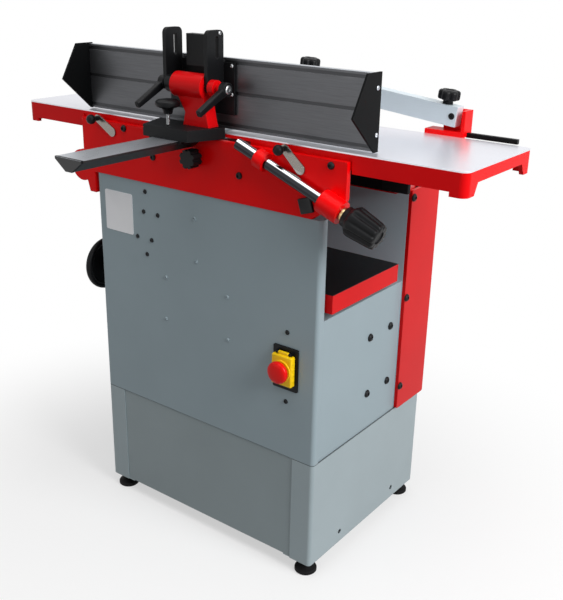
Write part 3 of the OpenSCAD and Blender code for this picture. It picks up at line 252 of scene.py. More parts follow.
def finish(name, look, zone=None, under=None):
    # look covers the piece; under shows where the zone is not reached
    look = {**plainLook, **look}
    material = bpy.data.materials.new(name)
    material.use_nodes = True
    tree = material.node_tree
    shader = tree.nodes["Principled BSDF"]
    colour, rough, height, normal = coat(tree, look)
    metal = look["metal"]
    if zone:
        under = {**plainLook, **under}
        mask = useGroup(tree, "zone", **zone).outputs["Zone"]
        lowColour, lowRough, lowHeight = coat(tree, under)[:3]
        colour = mix(tree, "RGBA", mask, lowColour, colour)
        rough = mix(tree, "FLOAT", mask, lowRough, rough)
        if metal != under["metal"]:
            metal = mix(tree, "FLOAT", mask, under["metal"], metal)
        height = mix(tree, "FLOAT", mask, lowHeight, height)
    tree.links.new(colour, shader.inputs["Base Color"])
    tree.links.new(rough, shader.inputs["Roughness"])
    feed(tree, shader.inputs["Metallic"], metal)
    shader.inputs["Specular IOR Level"].default_value = look["sheen"]
    shader.inputs["Coat Weight"].default_value = look["gloss"]
    shader.inputs["Coat Roughness"].default_value = grain["coatRough"]
    bump = addNode(tree, "Bump", {"Strength": look["bump"], "Distance": look["depth"]})
    tree.links.new(height, bump.inputs["Height"])
    tree.links.new(normal, bump.inputs["Normal"])
    tree.links.new(bump.outputs["Normal"], shader.inputs["Normal"])
    return material


looks = {
    "apronRed": {"colour": tone(232, 4, 10), "rough": 0.38, "roughVary": 0.02, "scale": 420, "edge": 0.0022,
                 "wear": 0.12, "worn": tone(240, 70, 66), "bump": 0.16},
    "red": {"colour": tone(216, 5, 11), "rough": 0.36, "roughVary": 0.02, "scale": 420, "sheen": 0.12,
            "gloss": 0.04, "edge": 0.0016, "wear": 0.22, "worn": tone(240, 90, 84), "bump": 0.10},
    "castRed": {"colour": tone(250, 3, 8), "rough": 0.36, "roughVary": 0.03, "scale": 120, "sheen": 0.1,
                "gloss": 0.04, "edge": 0.0028, "wear": 0.12, "worn": tone(240, 70, 66), "bump": 0.22},
    "grey": {"colour": tone(155, 171, 178), "rough": 0.42, "scale": 420, "sheen": 0.25, "edge": 0.0012,
             "wear": 0.3, "vary": 0.03, "bump": 0.09},
    # chamber wall paint: a paler copy of the grey, painted light to lift the shade inside the chamber
    "chamber": {"colour": tone(190, 214, 224), "rough": 0.45, "scale": 420, "sheen": 0.25, "edge": 0.0012,
                "wear": 0.2, "vary": 0.03, "bump": 0.09},
    # plinth ends: a dark line at the seam under the body is painted shade in the gap
    "plinth": {"colour": tone(162, 176, 181), "paintedShadeLines": (0.2756,), "paintedShadeHalf": 0.0011, "paintedShadeShare": 0.25,
               "rough": 0.36, "scale": 420, "sheen": 0.3, "gloss": 0.1, "edge": 0.0012, "wear": 0.3,
               "vary": 0.04, "bump": 0.09},
    "black": {"colour": tone(13, 14, 16), "rough": 0.46, "scale": 600, "sheen": 0.15, "edge": 0.0012,
              "wear": 0.35, "worn": tone(92, 94, 98), "bump": 0.16},
    "plastic": {"colour": tone(12, 13, 15), "rough": 0.42, "scale": 1500, "sheen": 0.15, "edge": 0.001,
                "wear": 0.2, "worn": tone(70, 72, 76), "bump": 0.22, "depth": 0.0002},
    "rubber": {"colour": tone(18, 18, 19), "rough": 0.68, "scale": 900, "sheen": 0.15, "edge": 0.0008,
               "wear": 0.15, "bump": 0.25},
    "yellow": {"colour": tone(255, 208, 14), "rough": 0.34, "scale": 900, "sheen": 0.25, "edge": 0.001,
               "wear": 0.2, "bump": 0.1},
    "stopRed": {"colour": tone(238, 14, 10), "rough": 0.34, "scale": 900, "sheen": 0.2, "edge": 0.001,
                "wear": 0.2, "bump": 0.08},
    # chrome: its undersides take a dark colour, a painted reflection and painted shade
    "chrome": {"colour": tone(206, 208, 212), "paintedShadeBelow": tone(44, 45, 48), "turn": (0.52, 0.74), "rough": 0.09,
               "roughVary": 0.04, "metal": 1.0, "scale": 60, "stretch": (1, 18, 18), "edge": 0.0006,
               "wear": 0, "bump": 0.02},
    "steel": {"colour": tone(176, 178, 180), "rough": 0.3, "roughVary": 0.08, "metal": 1.0, "scale": 50,
              "stretch": (30, 2, 30), "edge": 0.0006, "wear": 0, "streak": 0.25, "bump": 0.06},
    "darkSteel": {"colour": tone(22, 23, 25), "rough": 0.42, "metal": 0.3, "sheen": 0.25, "scale": 500,
                  "edge": 0.0006, "wear": 0.5, "worn": tone(120, 120, 124), "bump": 0.1},
    "brass": {"colour": tone(196, 178, 132), "rough": 0.26, "metal": 1.0, "scale": 80, "stretch": (20, 2, 20),
              "edge": 0.0006, "wear": 0, "bump": 0.05},
    "bar": {"colour": tone(180, 184, 190), "rough": 0.34, "roughVary": 0.07, "metal": 0.85, "scale": 30,
            "stretch": (40, 1, 40), "edge": 0.0008, "wear": 0.1, "streak": 0.14, "bump": 0.05},
    "arm": {"colour": tone(214, 226, 233), "rough": 0.36, "roughVary": 0.06, "metal": 0.15, "scale": 30,
            "stretch": (1, 40, 40), "edge": 0.0012, "wear": 0.2, "streak": 0.1, "bump": 0.04},
    "cap": {"colour": tone(7, 8, 9), "rough": 0.5, "scale": 900, "sheen": 0.08, "edge": 0.0008, "wear": 0.25,
            "worn": tone(70, 72, 76), "bump": 0.12, "depth": 0.0002},
    "lever": {"colour": tone(142, 136, 130), "rough": 0.24, "roughVary": 0.05, "metal": 0.92, "scale": 90,
              "stretch": (1, 12, 12), "edge": 0.0006, "wear": 0.15, "streak": 0.06, "bump": 0.03},
    "blade": {"colour": tone(184, 194, 200), "rough": 0.42, "roughVary": 0.03, "metal": 0.15, "scale": 120,
              "stretch": (20, 1, 20), "edge": 0.0003, "wear": 0, "bump": 0.01},
    # fence: dark lines along its grooves and under its top edge are painted shade
    "fence": {"colour": tone(94, 95, 98), "rough": 0.4, "roughVary": 0.07, "metal": 0.85, "scale": 26,
              "stretch": (1, 40, 40), "cloud": 3, "vary": 0.09, "edge": 0.0006, "wear": 0.3,
              "worn": tone(190, 190, 190), "streak": 0.28, "bump": 0.07,
              "paintedShadeLines": (0.926, 0.9866, 1.042), "paintedShadeHalf": 0.0028, "paintedShadeShare": 0.5},
    "tableTop": {"colour": tone(228, 229, 236), "rough": 0.32, "roughVary": 0.02, "metal": 0.7, "sheen": 0.12,
                 "scale": 80, "stretch": (1, 22, 1), "cloud": 3, "vary": 0.015, "edge": 0.0008, "wear": 0.1,
                 "bump": 0.008},
    # bed top: near-black, painted shade and painted reflection on the ground bed inside the chamber
    "bedTopPaintedShade": {"colour": tone(24, 25, 27), "rough": 0.38, "roughVary": 0.03, "metal": 0.3, "sheen": 0.12,
               "scale": 80, "stretch": (1, 22, 1), "cloud": 5, "vary": 0.08, "edge": 0.0008, "wear": 0.3,
               "worn": tone(110, 110, 114), "bump": 0.05},
    "plate": {"colour": tone(246, 247, 252), "rough": 0.4, "scale": 400, "stretch": (1, 1, 8), "edge": 0.0004,
              "wear": 0, "bump": 0.05},
}
# plinth sides: a darker copy of the plinth paint, painted shade; the plinth ends keep the lit tone
looks["plinthSidePaintedShade"] = dict(looks["plinth"], colour=tone(148, 161, 165))

# finishes of two looks: name, look past a plane, the plane's axis and place, look before it
zoned = {
    "fence": ("fencePlate", "bar", upward, 1.0492, "fence"),
    "table": ("groundTable", "tableTop", upward, 0.9125, "apronRed"),
    "bed": ("thicknesserBed", "bedTopPaintedShade", upward, 0.6392, "red"),
    "chamber": ("chamberWall", "red", upward, 0.7832, "chamber"),
    "guideBar": ("guideBar", "bar", upward, 0.9026, "plastic"),
    "bracket": ("guardBracket", "black", rightward, 0.4052, "castRed"),
    # far casting: black on the chamber side of the plane, painted shade under the infeed table
    "farCastingPaintedShade": ("farCastingPaintedShade", "black", nearward, -0.2045, "castRed"),
}
zonedOnly = ("tableTop", "bedTopPaintedShade", "fence", "chamber", "apronRed")
finishes = {key: finish(key, look) for key, look in looks.items() if key not in zonedOnly}
for key, (name, past, axis, start, before) in zoned.items():
    finishes[key] = finish(name, looks[past], {"Axis": axis, "From": start}, looks[before])
print("finishes made:", len(finishes))

nodeFinish = {
    "plinth": ["plinth_ends"],
    "plinthSidePaintedShade": ["plinth_sides"],
    "grey": ["base_plate", "panel_near", "panel_far", "cover_front", "cover_rear", "lift_bridge"],
    "chamber": ["chamber_wall"],
    "red": ["drive_column", "belt_cover", "fence_head"],
    "castRed": ["casting_near"],
    "farCastingPaintedShade": ["casting_far"],
    "table": ["outfeed_table", "infeed_table"],
    "bed": ["thicknesser_table"],
    "bracket": ["guard_bracket"],
    "chrome": ["guide_rod"],
    "lever": ["lever_left", "lever_right"],
    "steel": ["cutter_bearings", "cutter_block", "knives", "roller_front", "roller_rear", "lift_column",
              "lift_screw", "panel_rivets"],
    "darkSteel": ["cutter_pulley", "motor_pulley", "lift_nut", "casting_bolts", "panel_screws", "end_screws"],
    "black": ["motor_body", "handwheel", "carriage_plate", "fence_mount"],
    "cap": ["fence_caps"],
    "plastic": ["depth_knob", "handwheel_grip", "lever_left_ball", "lever_right_ball", "switch_plate",
                "tilt_handle_left", "tilt_handle_right", "carriage_knob", "bar_knob", "guard_knob_arm",
                "guard_knob_blade"],
    "rubber": ["levelling_feet", "drive_belt"],
    "yellow": ["switch_lid"],
    "stopRed": ["stop_button"],
    "brass": ["depth_collar"],
    "guideBar": ["guide_bar"],
    "arm": ["guard_arm"],
    "blade": ["guard_blade"],
    "fence": ["fence_plate"],
}
for key, names in nodeFinish.items():
    for name in names:
        mesh = nodes[name].data
        mesh.materials.clear()
        mesh.materials.append(finishes[key])
print("nodes dressed:", sum(len(v) for v in nodeFinish.values()))


# shape helpers, with what counts as touching, as thin and as flush
weld = {"near": 1e-6, "thin": 1e-7, "flush": 0.99}


def lathe(profile, steps):
    bm = bmesh.new()
    verts = [bm.verts.new((r, 0, z)) for r, z in profile]
    edges = [bm.edges.new(pair) for pair in zip(verts, verts[1:])]
    bmesh.ops.spin(bm, geom=verts + edges, cent=(0, 0, 0), axis=upward, dvec=(0, 0, 0), angle=2 * math.pi,
                   steps=steps, use_merge=True)
    bmesh.ops.remove_doubles(bm, verts=bm.verts, dist=weld["near"])
    return bm


def close(bm):
    bmesh.ops.holes_fill(bm, edges=bm.edges, sides=0)
    bmesh.ops.recalc_face_normals(bm, faces=bm.faces)


def spun(profile, steps):
    bm = lathe(profile, steps)
    bmesh.ops.dissolve_degenerate(bm, dist=weld["thin"], edges=bm.edges)
    close(bm)
    return bm


def crowned(neck, crown, radius):
    # neck in metres; the crown's radii are shares of the radius
    return list(neck) + [(radius * share, z) for share, z in crown]


def thread(radius, depth, pitch, low, high):
    profile = []
    z = low
    while z < high:
        profile += [(radius, z), (radius - depth, z + pitch / 2)]
        z += pitch
    return profile


def rounded(bm, geom, radius, segments=3, affect="EDGES"):
    bmesh.ops.bevel(bm, geom=geom, offset=radius, offset_type="OFFSET", affect=affect, segments=segments,
                    profile=0.5, material=-1)


def softBox(size, radius, segments=3):
    bm = bmesh.new()
    bmesh.ops.create_cube(bm, size=1)
    bmesh.ops.scale(bm, vec=size, verts=bm.verts)
    rounded(bm, bm.edges[:], radius, segments)
    return bm


def drawOut(bm, faces, step):
    drawn = bmesh.ops.extrude_face_region(bm, geom=faces)["geom"]
    bmesh.ops.translate(bm, vec=step, verts=[g for g in drawn if isinstance(g, bmesh.types.BMVert)])
    bmesh.ops.recalc_face_normals(bm, faces=bm.faces)


def sink(bm, faces, margin, step):
    bmesh.ops.inset_region(bm, faces=faces, thickness=margin, depth=0)
    bmesh.ops.translate(bm, vec=step, verts=list({v for f in faces for v in f.verts}))


def facesToward(bm, way):
    return [f for f in bm.faces if f.normal.dot(Vector(way)) > weld["flush"]]


def squeeze(vert, share):
    vert.co.x *= share
    vert.co.y *= share


def facing(direction):
    return Vector(upward).rotation_difference(Vector(direction)).to_matrix().to_4x4()


def stamp(target, source, spots, direction):
    # copies of one shape, each set on its spot
    mesh = bpy.data.meshes.new("stamp")
    source.to_mesh(mesh)
    source.free()
    for spot in spots:
        copy = mesh.copy()
        copy.transform(Matrix.Translation(spot) @ facing(direction))
        target.from_mesh(copy)
        bpy.data.meshes.remove(copy)
    bpy.data.meshes.remove(mesh)


def stamped(source, spots, direction):
    bm = bmesh.new()
    stamp(bm, source, spots, direction)
    return bm


def piece(name, bm, finishKey, body, hides=(), sharp=35):
    mesh = bpy.data.meshes.new(name)
    bm.to_mesh(mesh)
    bm.free()
    mesh.polygons.foreach_set("use_smooth", [True] * len(mesh.polygons))
    mesh.set_sharp_from_angle(angle=math.radians(sharp))
    mesh.materials.append(finishes[finishKey])
    thing = bpy.data.objects.new(name, mesh)
    bpy.context.scene.collection.objects.link(thing)
    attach(thing, body)
    if hides:
        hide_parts(*hides)


# button head with a hexagon socket; the profile is in shares of radius and height
button = {"profile": ((1, 0), (1, 0.3), (0.9, 0.62), (0.72, 0.88), (0.55, 1)), "steps": 24, "sink": 0.55,
          "socketReach": 1.01, "rimFrom": 0.9}


def socketHead(diameter, height, socket):
    r = diameter / 2
    bm = lathe([(r * a, height * b) for a, b in button["profile"]] + [(socket, height)], button["steps"])
    for v in bm.verts:
        if math.hypot(v.co.x, v.co.y) < socket * button["socketReach"]:
            turn = math.atan2(v.co.y, v.co.x) % (math.pi / 3) - math.pi / 6
            squeeze(v, math.cos(math.pi / 6) / math.cos(turn))
    rim = [e for e in bm.edges if e.is_boundary and e.verts[0].co.z > height * button["rimFrom"]]
    drop = bmesh.ops.extrude_edge_only(bm, edges=rim)["geom"]
    low = [g for g in drop if isinstance(g, bmesh.types.BMVert)]
    bmesh.ops.translate(bm, vec=(0, 0, -height * button["sink"]), verts=low)
    close(bm)
    return bm


# fasteners: sizes in metres, spots in millimetres from the corner of their face
fasteners = {
    "panelScrews": {"size": (0.010, 0.0025, 0.0026),
                    "spots": [(145, 20), (139, 64), (180, 65), (118, 122), (160, 123), (145, 157),
                              (521, 236), (521, 386)]},
    "castingBolts": {"size": (0.014, 0.005, 0.0036), "spots": [(92, 9), (174, 57), (401, 60), (608, 10)]},
    "coverScrews": {"size": (0.017, 0.005, 0.0040), "out": -0.002,
                    "spots": [(198, 294.3), (280, 294.3), (198, 424.8), (280, 424.8)]},
    "columnScrews": {"size": (0.017, 0.005, 0.0040), "out": 0.008,
                     "spots": [(325, 17.9), (325, 240.2), (325, 452.9)]},
    "rivets": {"size": (0.009, 0.0025), "steps": 24,
               "profile": ((0, 0.45), (0.3, 0.45), (0.34, 1), (0.62, 0.92), (0.86, 0.6), (1, 0.15), (1, 0),
                           (0, 0)),
               "spots": [(283, 53), (286, 143), (199, 197), (369, 200), (196, 293), (370, 294)]},
    "plug": {"middle": (558, 24), "size": 0.029, "height": 0.005, "turn": 18, "corner": 0.0022,
             "margin": 0.005, "sink": 0.0016},
}


def onNear(kind, face, top):
    return [(datum["left"] + x * mm, face, top - z * mm) for x, z in fasteners[kind]["spots"]]


def onRight(kind):
    out = datum["right"] + fasteners[kind]["out"]
    return [(out, datum["near"] + y * mm, datum["bodyTop"] - z * mm) for y, z in fasteners[kind]["spots"]]


def head(kind):
    return socketHead(*fasteners[kind]["size"])


def rivet():
    rule = fasteners["rivets"]
    wide, high = rule["size"]
    return spun([(wide / 2 * a, high * b) for a, b in rule["profile"]], rule["steps"])


def plug():
    rule = fasteners["plug"]
    bm = softBox((rule["size"], rule["size"], rule["height"] * 2), rule["corner"])
    sink(bm, facesToward(bm, upward), rule["margin"], (0, 0, -rule["sink"]))
    turn = Matrix.Rotation(math.radians(rule["turn"]), 3, "Z")
    bmesh.ops.rotate(bm, cent=(0, 0, 0), matrix=turn, verts=bm.verts)
    return bm


screwHeads = stamped(head("panelScrews"), onNear("panelScrews", datum["near"], datum["bodyTop"]), nearward)
piece("panelScrewHeads", screwHeads, "darkSteel", "frame", ["panel_screws"])

domes = stamped(rivet(), onNear("rivets", datum["near"], datum["bodyTop"]), nearward)
piece("panelRivetDomes", domes, "grey", "frame", ["panel_rivets"])

boltSpots = onNear("castingBolts", datum["castingFace"], datum["castingTop"])
bolts = stamped(head("castingBolts"), boltSpots, nearward)
plugX, plugZ = fasteners["plug"]["middle"]
plugSpot = (datum["left"] + plugX * mm, datum["castingFace"], datum["bodyTop"] + plugZ * mm)
stamp(bolts, plug(), [plugSpot], nearward)
piece("castingBoltHeads", bolts, "darkSteel", "frame", ["casting_bolts"])

ends = stamped(head("coverScrews"), onRight("coverScrews"), rightward)
stamp(ends, head("columnScrews"), onRight("columnScrews"), rightward)
piece("endScrewHeads", ends, "darkSteel", "frame", ["end_screws"])
print("fasteners set")

# bare plate on the near panel
panelPlate = {"low": (-0.295, 0.664), "high": (-0.212, 0.753), "thick": 0.0008, "corner": 0.004,
              "margin": 0.0035, "sinkShare": 0.4}


def barePlate():
    x0, z0 = panelPlate["low"]
    x1, z1 = panelPlate["high"]
    bm = bmesh.new()
    bmesh.ops.create_grid(bm, x_segments=1, y_segments=1, size=0.5)
    bmesh.ops.scale(bm, vec=(x1 - x0, z1 - z0, 1), verts=bm.verts)
    rounded(bm, bm.verts[:], panelPlate["corner"], segments=4, affect="VERTICES")
    drawOut(bm, bm.faces[:], (0, 0, panelPlate["thick"]))
    dip = -panelPlate["thick"] * panelPlate["sinkShare"]
    sink(bm, facesToward(bm, upward), panelPlate["margin"], (0, 0, dip))
    spot = Matrix.Translation(((x0 + x1) / 2, datum["near"], (z0 + z1) / 2))
    bmesh.ops.transform(bm, matrix=spot @ Matrix.Rotation(math.radians(90), 4, "X"), verts=bm.verts)
    return bm


piece("panelBarePlate", barePlate(), "plate", "frame")

# dark plate under the sloped end of the far casting: painted shadow, a black sheet where there is only shade
paintedShadowPlate = {"low": (0.236, 0.2036, 0.7868), "high": (0.2965, 0.2150, 0.8340), "corner": 0.0016}
paintedShadowShape = softBox([b - a for a, b in zip(paintedShadowPlate["low"], paintedShadowPlate["high"])], paintedShadowPlate["corner"])
paintedShadowMiddle = [(a + b) / 2 for a, b in zip(paintedShadowPlate["low"], paintedShadowPlate["high"])]
bmesh.ops.translate(paintedShadowShape, vec=paintedShadowMiddle, verts=paintedShadowShape.verts)
piece("farPaintedShadowPlate", paintedShadowShape, "rubber", "frame")

# levelling feet
feet = {
    "inX": 0.026, "inY": 0.025, "stud": 0.005, "threadLow": 0.0175, "threadHigh": 0.0235, "pitch": 0.0015,
    "threadDepth": 0.0006, "flange": 0.032, "nut": 0.0095, "nutChamfer": 0.0008,
    "nuts": ((-0.008, 0), (0.003, 0.011)), "steps": 40, "tipSteps": 24,
    "pad": ((0, 0), (0.022, 0), (0.024, 0.002), (0.024, 0.0075), (0.0225, 0.0098), (0.018, 0.0112),
            (0.0125, 0.0160), (0.0095, 0.0172), (0.005, 0.0175)),
    "tip": ((0, 0.043), (0.005, 0.043), (0.005, 0.0575), (0.0042, 0.059), (0, 0.059)),
}


def footShape():
    stud, high = feet["stud"], feet["threadHigh"]
    bare = thread(stud, feet["threadDepth"], feet["pitch"], feet["threadLow"], high)
    return spun(list(feet["pad"]) + bare + [(stud, high), (0, high)], feet["steps"])


def hexNut(radius, low, high):
    bm = bmesh.new()
    bmesh.ops.create_circle(bm, cap_ends=True, radius=radius, segments=6)
    drawOut(bm, bm.faces[:], (0, 0, high - low))
    level = [e for e in bm.edges if abs(e.verts[0].co.z - e.verts[1].co.z) < weld["near"]]
    rounded(bm, level, feet["nutChamfer"], segments=2)
    bmesh.ops.translate(bm, vec=(0, 0, low), verts=bm.verts)
    return bm


footX = (datum["left"] + feet["inX"], datum["right"] - feet["inX"])
footY = (datum["near"] + feet["inY"], datum["far"] - feet["inY"])
footSpots = [(x, y, 0) for x in footX for y in footY]
pads = stamped(footShape(), footSpots, upward)
for low, high in feet["nuts"]:
    stamp(pads, hexNut(feet["nut"], feet["flange"] + low, feet["flange"] + high), footSpots, upward)
stamp(pads, spun(feet["tip"], feet["tipSteps"]), footSpots, upward)
piece("footPads", pads, "rubber", "frame", ["levelling_feet"])
print("feet set")

# switch
switch = {
    "x": 0.202, "z": 0.474, "lidFace": -0.0833, "lidBack": -0.0693, "lid": (0.048, 0.0637),
    "lidCorner": 0.0025, "lidDrop": 0.00015,
    "hingeY": -0.075, "tab": (0.0252, 0.0066, 0.009), "tabCorner": 0.0016, "tabRise": 0.0335,
    "ring": ((0.0145, 0.0), (0.0225, 0.0), (0.0225, 0.0016), (0.0212, 0.0026), (0.0158, 0.0026),
             (0.0145, 0.0016)),
    "ringSteps": 40, "ringSeat": 0.0004, "ribs": 4, "ribWide": 0.0016, "ribShare": 0.62, "ribHigh": 0.0042,
    "ribCorner": 0.0005, "ribLow": -0.018, "ribStep": 0.012, "ribSeat": 0.0003,
    "button": 0.0228, "buttonSteps": 56,
    "neck": ((0, -0.0095), (0.0098, -0.0095), (0.0098, 0.0065), (0.0125, 0.0072)),
    "crown": ((0.93, 0.0074), (1, 0.0086), (1, 0.0128), (0.96, 0.0152), (0.84, 0.0172), (0.6, 0.0184),
              (0.3, 0.0189), (0, 0.0190)),
}


def switchLid():
    x, z, face = switch["x"], switch["z"], switch["lidFace"]
    wide, high = switch["lid"]
    thick = switch["lidBack"] - face
    bm = softBox((wide, thick, high), switch["lidCorner"])
    bmesh.ops.translate(bm, vec=(x, face + thick / 2, z - switch["lidDrop"]), verts=bm.verts)
    stamp(bm, spun(switch["ring"], switch["ringSteps"]), [(x, face + switch["ringSeat"], z)], nearward)
    ribSize = (switch["ribWide"], thick * switch["ribShare"], switch["ribHigh"])
    for side in (-1, 1):  # grip ribs on both flanks
        for step in range(switch["ribs"]):
            spot = (x + side * (wide / 2 - switch["ribSeat"]), face + thick / 2,
                    z + switch["ribLow"] + step * switch["ribStep"])
            stamp(bm, softBox(ribSize, switch["ribCorner"], segments=2), [spot], upward)
    tab = softBox(switch["tab"], switch["tabCorner"])
    stamp(bm, tab, [(x, switch["hingeY"], z + switch["tabRise"])], upward)
    return bm


def stopButton():
    shape = spun(crowned(switch["neck"], switch["crown"], switch["button"]), switch["buttonSteps"])
    return stamped(shape, [(switch["x"], switch["lidFace"], switch["z"])], nearward)


piece("switchCover", switchLid(), "yellow", "lid", ["switch_lid"])
piece("stopMushroom", stopButton(), "stopRed", "stop", ["stop_button"])
print("switch set")

# fluted depth knob on the inclined rod; ring radii are shares of the radius
rod = {
    "foot": (0.305, -0.083, 0.822), "angle": 21, "knobFrom": 0.0308, "length": 0.074, "radius": 0.029,
    "collar": ((0, 0.0), (0.60, 0.0), (0.64, 0.0015), (0.66, 0.009), (0.80, 0.0125), (0.985, 0.018),
               (1, 0.022)),
    "taper": 0.02, "taperSteps": 7, "taperLow": 0.022, "taperRun": 0.046,
    "end": ((0.82, -0.002), (0.74, 0), (0.42, 0), (0.40, -0.002), (0, -0.002)),
    "flutes": 10, "fluteLow": 0.016, "fluteFade": 0.010, "fluteDepth": 0.13, "flutePower": 2.2,
    "fluteFrom": 0.7, "steps": 120, "sharp": 50,
}


def depthKnob():
    r, length, steps = rod["radius"], rod["length"], rod["taperSteps"]
    rings = [(r * a, z) for a, z in rod["collar"]]
    for i in range(1, steps + 1):
        rings.append((r * (1 - rod["taper"] * i), rod["taperLow"] + i * rod["taperRun"] / steps))
    rings += [(r * a, length + z) for a, z in rod["end"]]
    bm = spun(rings, rod["steps"])
    for v in bm.verts:
        if v.co.z > rod["fluteLow"] and math.hypot(v.co.x, v.co.y) > r * rod["fluteFrom"]:
            wave = (1 + math.cos(rod["flutes"] * math.atan2(v.co.y, v.co.x))) / 2
            fade = min(1, (v.co.z - rod["fluteLow"]) / rod["fluteFade"])
            squeeze(v, 1 - rod["fluteDepth"] * fade * wave ** rod["flutePower"])
    angle = math.radians(rod["angle"])
    way = Vector((math.cos(angle), 0, -math.sin(angle)))
    return stamped(bm, [Vector(rod["foot"]) + way * rod["knobFrom"]], way)


piece("depthKnobGrip", depthKnob(), "plastic", "depth_dial", ["depth_knob"], rod["sharp"])

# slide knob of the fence carriage
slideKnob = {
    "x": -0.060, "y": -0.108, "plate": 0.925, "under": 0.9033, "radius": 0.024, "raise": 0.008,
    "neck": ((0, 0.012), (0.0085, 0.012), (0.0098, 0.019), (0.0125, 0.0228)),
    "crown": ((0.74, 0.0240), (0.95, 0.0266), (1, 0.0305), (0.97, 0.0348), (0.84, 0.0376), (0.45, 0.0394),
              (0, 0.0399)),
    "stud": 0.004, "threadDepth": 0.0005, "pitch": 0.0012, "threadHigh": 0.0195, "studTop": 0.0205,
    "steps": 56, "studSteps": 32,
}


def slideKnobHead():
    bm = spun(crowned(slideKnob["neck"], slideKnob["crown"], slideKnob["radius"]), slideKnob["steps"])
    spot = (slideKnob["x"], slideKnob["y"], slideKnob["plate"] + slideKnob["raise"])
    bmesh.ops.translate(bm, vec=spot, verts=bm.verts)
    return bm


def slideKnobStud():
    stud, top = slideKnob["stud"], slideKnob["studTop"]
    base = slideKnob["under"] - slideKnob["plate"]
    bare = thread(stud, slideKnob["threadDepth"], slideKnob["pitch"], 0.0, slideKnob["threadHigh"])
    profile = [(0, base), (stud, base), (stud, 0.0)] + bare + [(stud, top), (0, top)]
    bm = spun(profile, slideKnob["studSteps"])
    bmesh.ops.translate(bm, vec=(slideKnob["x"], slideKnob["y"], slideKnob["plate"]), verts=bm.verts)
    return bm


piece("slideKnobHead", slideKnobHead(), "plastic", "slide_knob", ["carriage_knob"])
piece("slideKnobStud", slideKnobStud(), "steel", "slide_knob")

# tilt handles of the fence head, with their screws
tilt = {
    "y": -0.077, "z": 0.998, "left": -0.105, "right": 0.050, "hub": 0.015, "drop": 26, "length": 0.084,
    "wide": 0.0155, "thick": 0.0125, "short": 0.004, "start": 0.002, "tipThick": 0.86, "tipWide": 0.82,
    "corner": 0.0028, "tipMargin": 0.0016, "tipDepth": -0.0008,
    "screw": (0.0168, 0.0022, 0.0030), "seat": 0.0006,
    "hubProfile": ((0, 0), (0.0122, 0), (0.013, 0.001), (0.013, 0.0135), (0.0115, 0.015), (0.0075, 0.015),
                   (0.0072, 0.0142), (0, 0.0142)),
    "hubSteps": 40,
}


def tiltHandle(low, out):
    # tapered bar with a dished end, and its hub
    middle = tilt["length"] / 2
    arm = bmesh.new()
    bmesh.ops.create_cube(arm, size=1)
    bmesh.ops.scale(arm, vec=(tilt["thick"], tilt["wide"], tilt["length"] - tilt["short"]), verts=arm.verts)
    bmesh.ops.translate(arm, vec=(0, 0, middle + tilt["start"]), verts=arm.verts)
    for v in arm.verts:
        if v.co.z > middle:
            v.co.x *= tilt["tipThick"]
            v.co.y *= tilt["tipWide"]
    rounded(arm, arm.edges[:], tilt["corner"])
    tip = facesToward(arm, upward)
    bmesh.ops.inset_region(arm, faces=tip, thickness=tilt["tipMargin"], depth=tilt["tipDepth"])
    angle = math.radians(tilt["drop"])
    way = (0, -math.cos(angle), -math.sin(angle))
    bm = stamped(arm, [(low + tilt["hub"] / 2, tilt["y"], tilt["z"])], way)
    hubStart = low if out > 0 else low + tilt["hub"]
    stamp(bm, spun(tilt["hubProfile"], tilt["hubSteps"]), [(hubStart, tilt["y"], tilt["z"])], (out, 0, 0))
    return bm


for side, out, node in (("Left", -1, "tilt_handle_left"), ("Right", 1, "tilt_handle_right")):
    low = tilt[side.lower()]
    body = side.lower() + "_handle"
    piece("tiltHandle" + side, tiltHandle(low, out), "plastic", body, [node])
    end = low + tilt["hub"] if out > 0 else low
    cap = stamped(socketHead(*tilt["screw"]), [(end - out * tilt["seat"], tilt["y"], tilt["z"])], (out, 0, 0))
    piece("tiltScrew" + side, cap, "steel", body)

# star knobs and pivot screw of the guard
guard = {
    "pivot": (0.376, 0.206, 0.952), "angle": 6, "thick": 0.025, "high": 0.038, "knobs": (-0.018, -0.344),
    "radius": 0.021, "lobes": 6, "lobeDepth": 0.17, "lobeFrom": 0.6, "lift": 0.0004,
    "foot": ((0, 0.008),),
    "crown": ((0.86, 0.008), (0.97, 0.0092), (1, 0.0115), (1, 0.0205), (0.96, 0.0238), (0.84, 0.0255),
              (0.42, 0.0260), (0.38, 0.0248), (0, 0.0248)),
    "neck": ((0, 0), (0.0098, 0), (0.0102, 0.0012), (0.0092, 0.0060), (0.0096, 0.0086), (0, 0.0086)),
    "screw": (0.0128, 0.0024, 0.0030), "seat": (0, 0.0006, 0), "steps": 96, "neckSteps": 40, "sharp": 50,
}


def starKnob(back):
    r = guard["radius"]
    star = spun(crowned(guard["foot"], guard["crown"], r), guard["steps"])
    for v in star.verts:
        if math.hypot(v.co.x, v.co.y) > r * guard["lobeFrom"]:
            wave = (1 + math.cos(guard["lobes"] * math.atan2(v.co.y, v.co.x))) / 2
            squeeze(v, 1 - guard["lobeDepth"] * wave ** 2)
    angle = math.radians(guard["angle"])
    rise = Vector((math.sin(angle), 0, math.cos(angle)))
    along = Vector((math.cos(angle), 0, -math.sin(angle)))
    spot = Vector(guard["pivot"]) + along * back + Vector((0, guard["thick"] / 2, 0))
    spot += rise * (guard["high"] / 2 + guard["lift"])
    bm = stamped(star, [spot], rise)
    stamp(bm, spun(guard["neck"], guard["neckSteps"]), [spot], rise)
    return bm


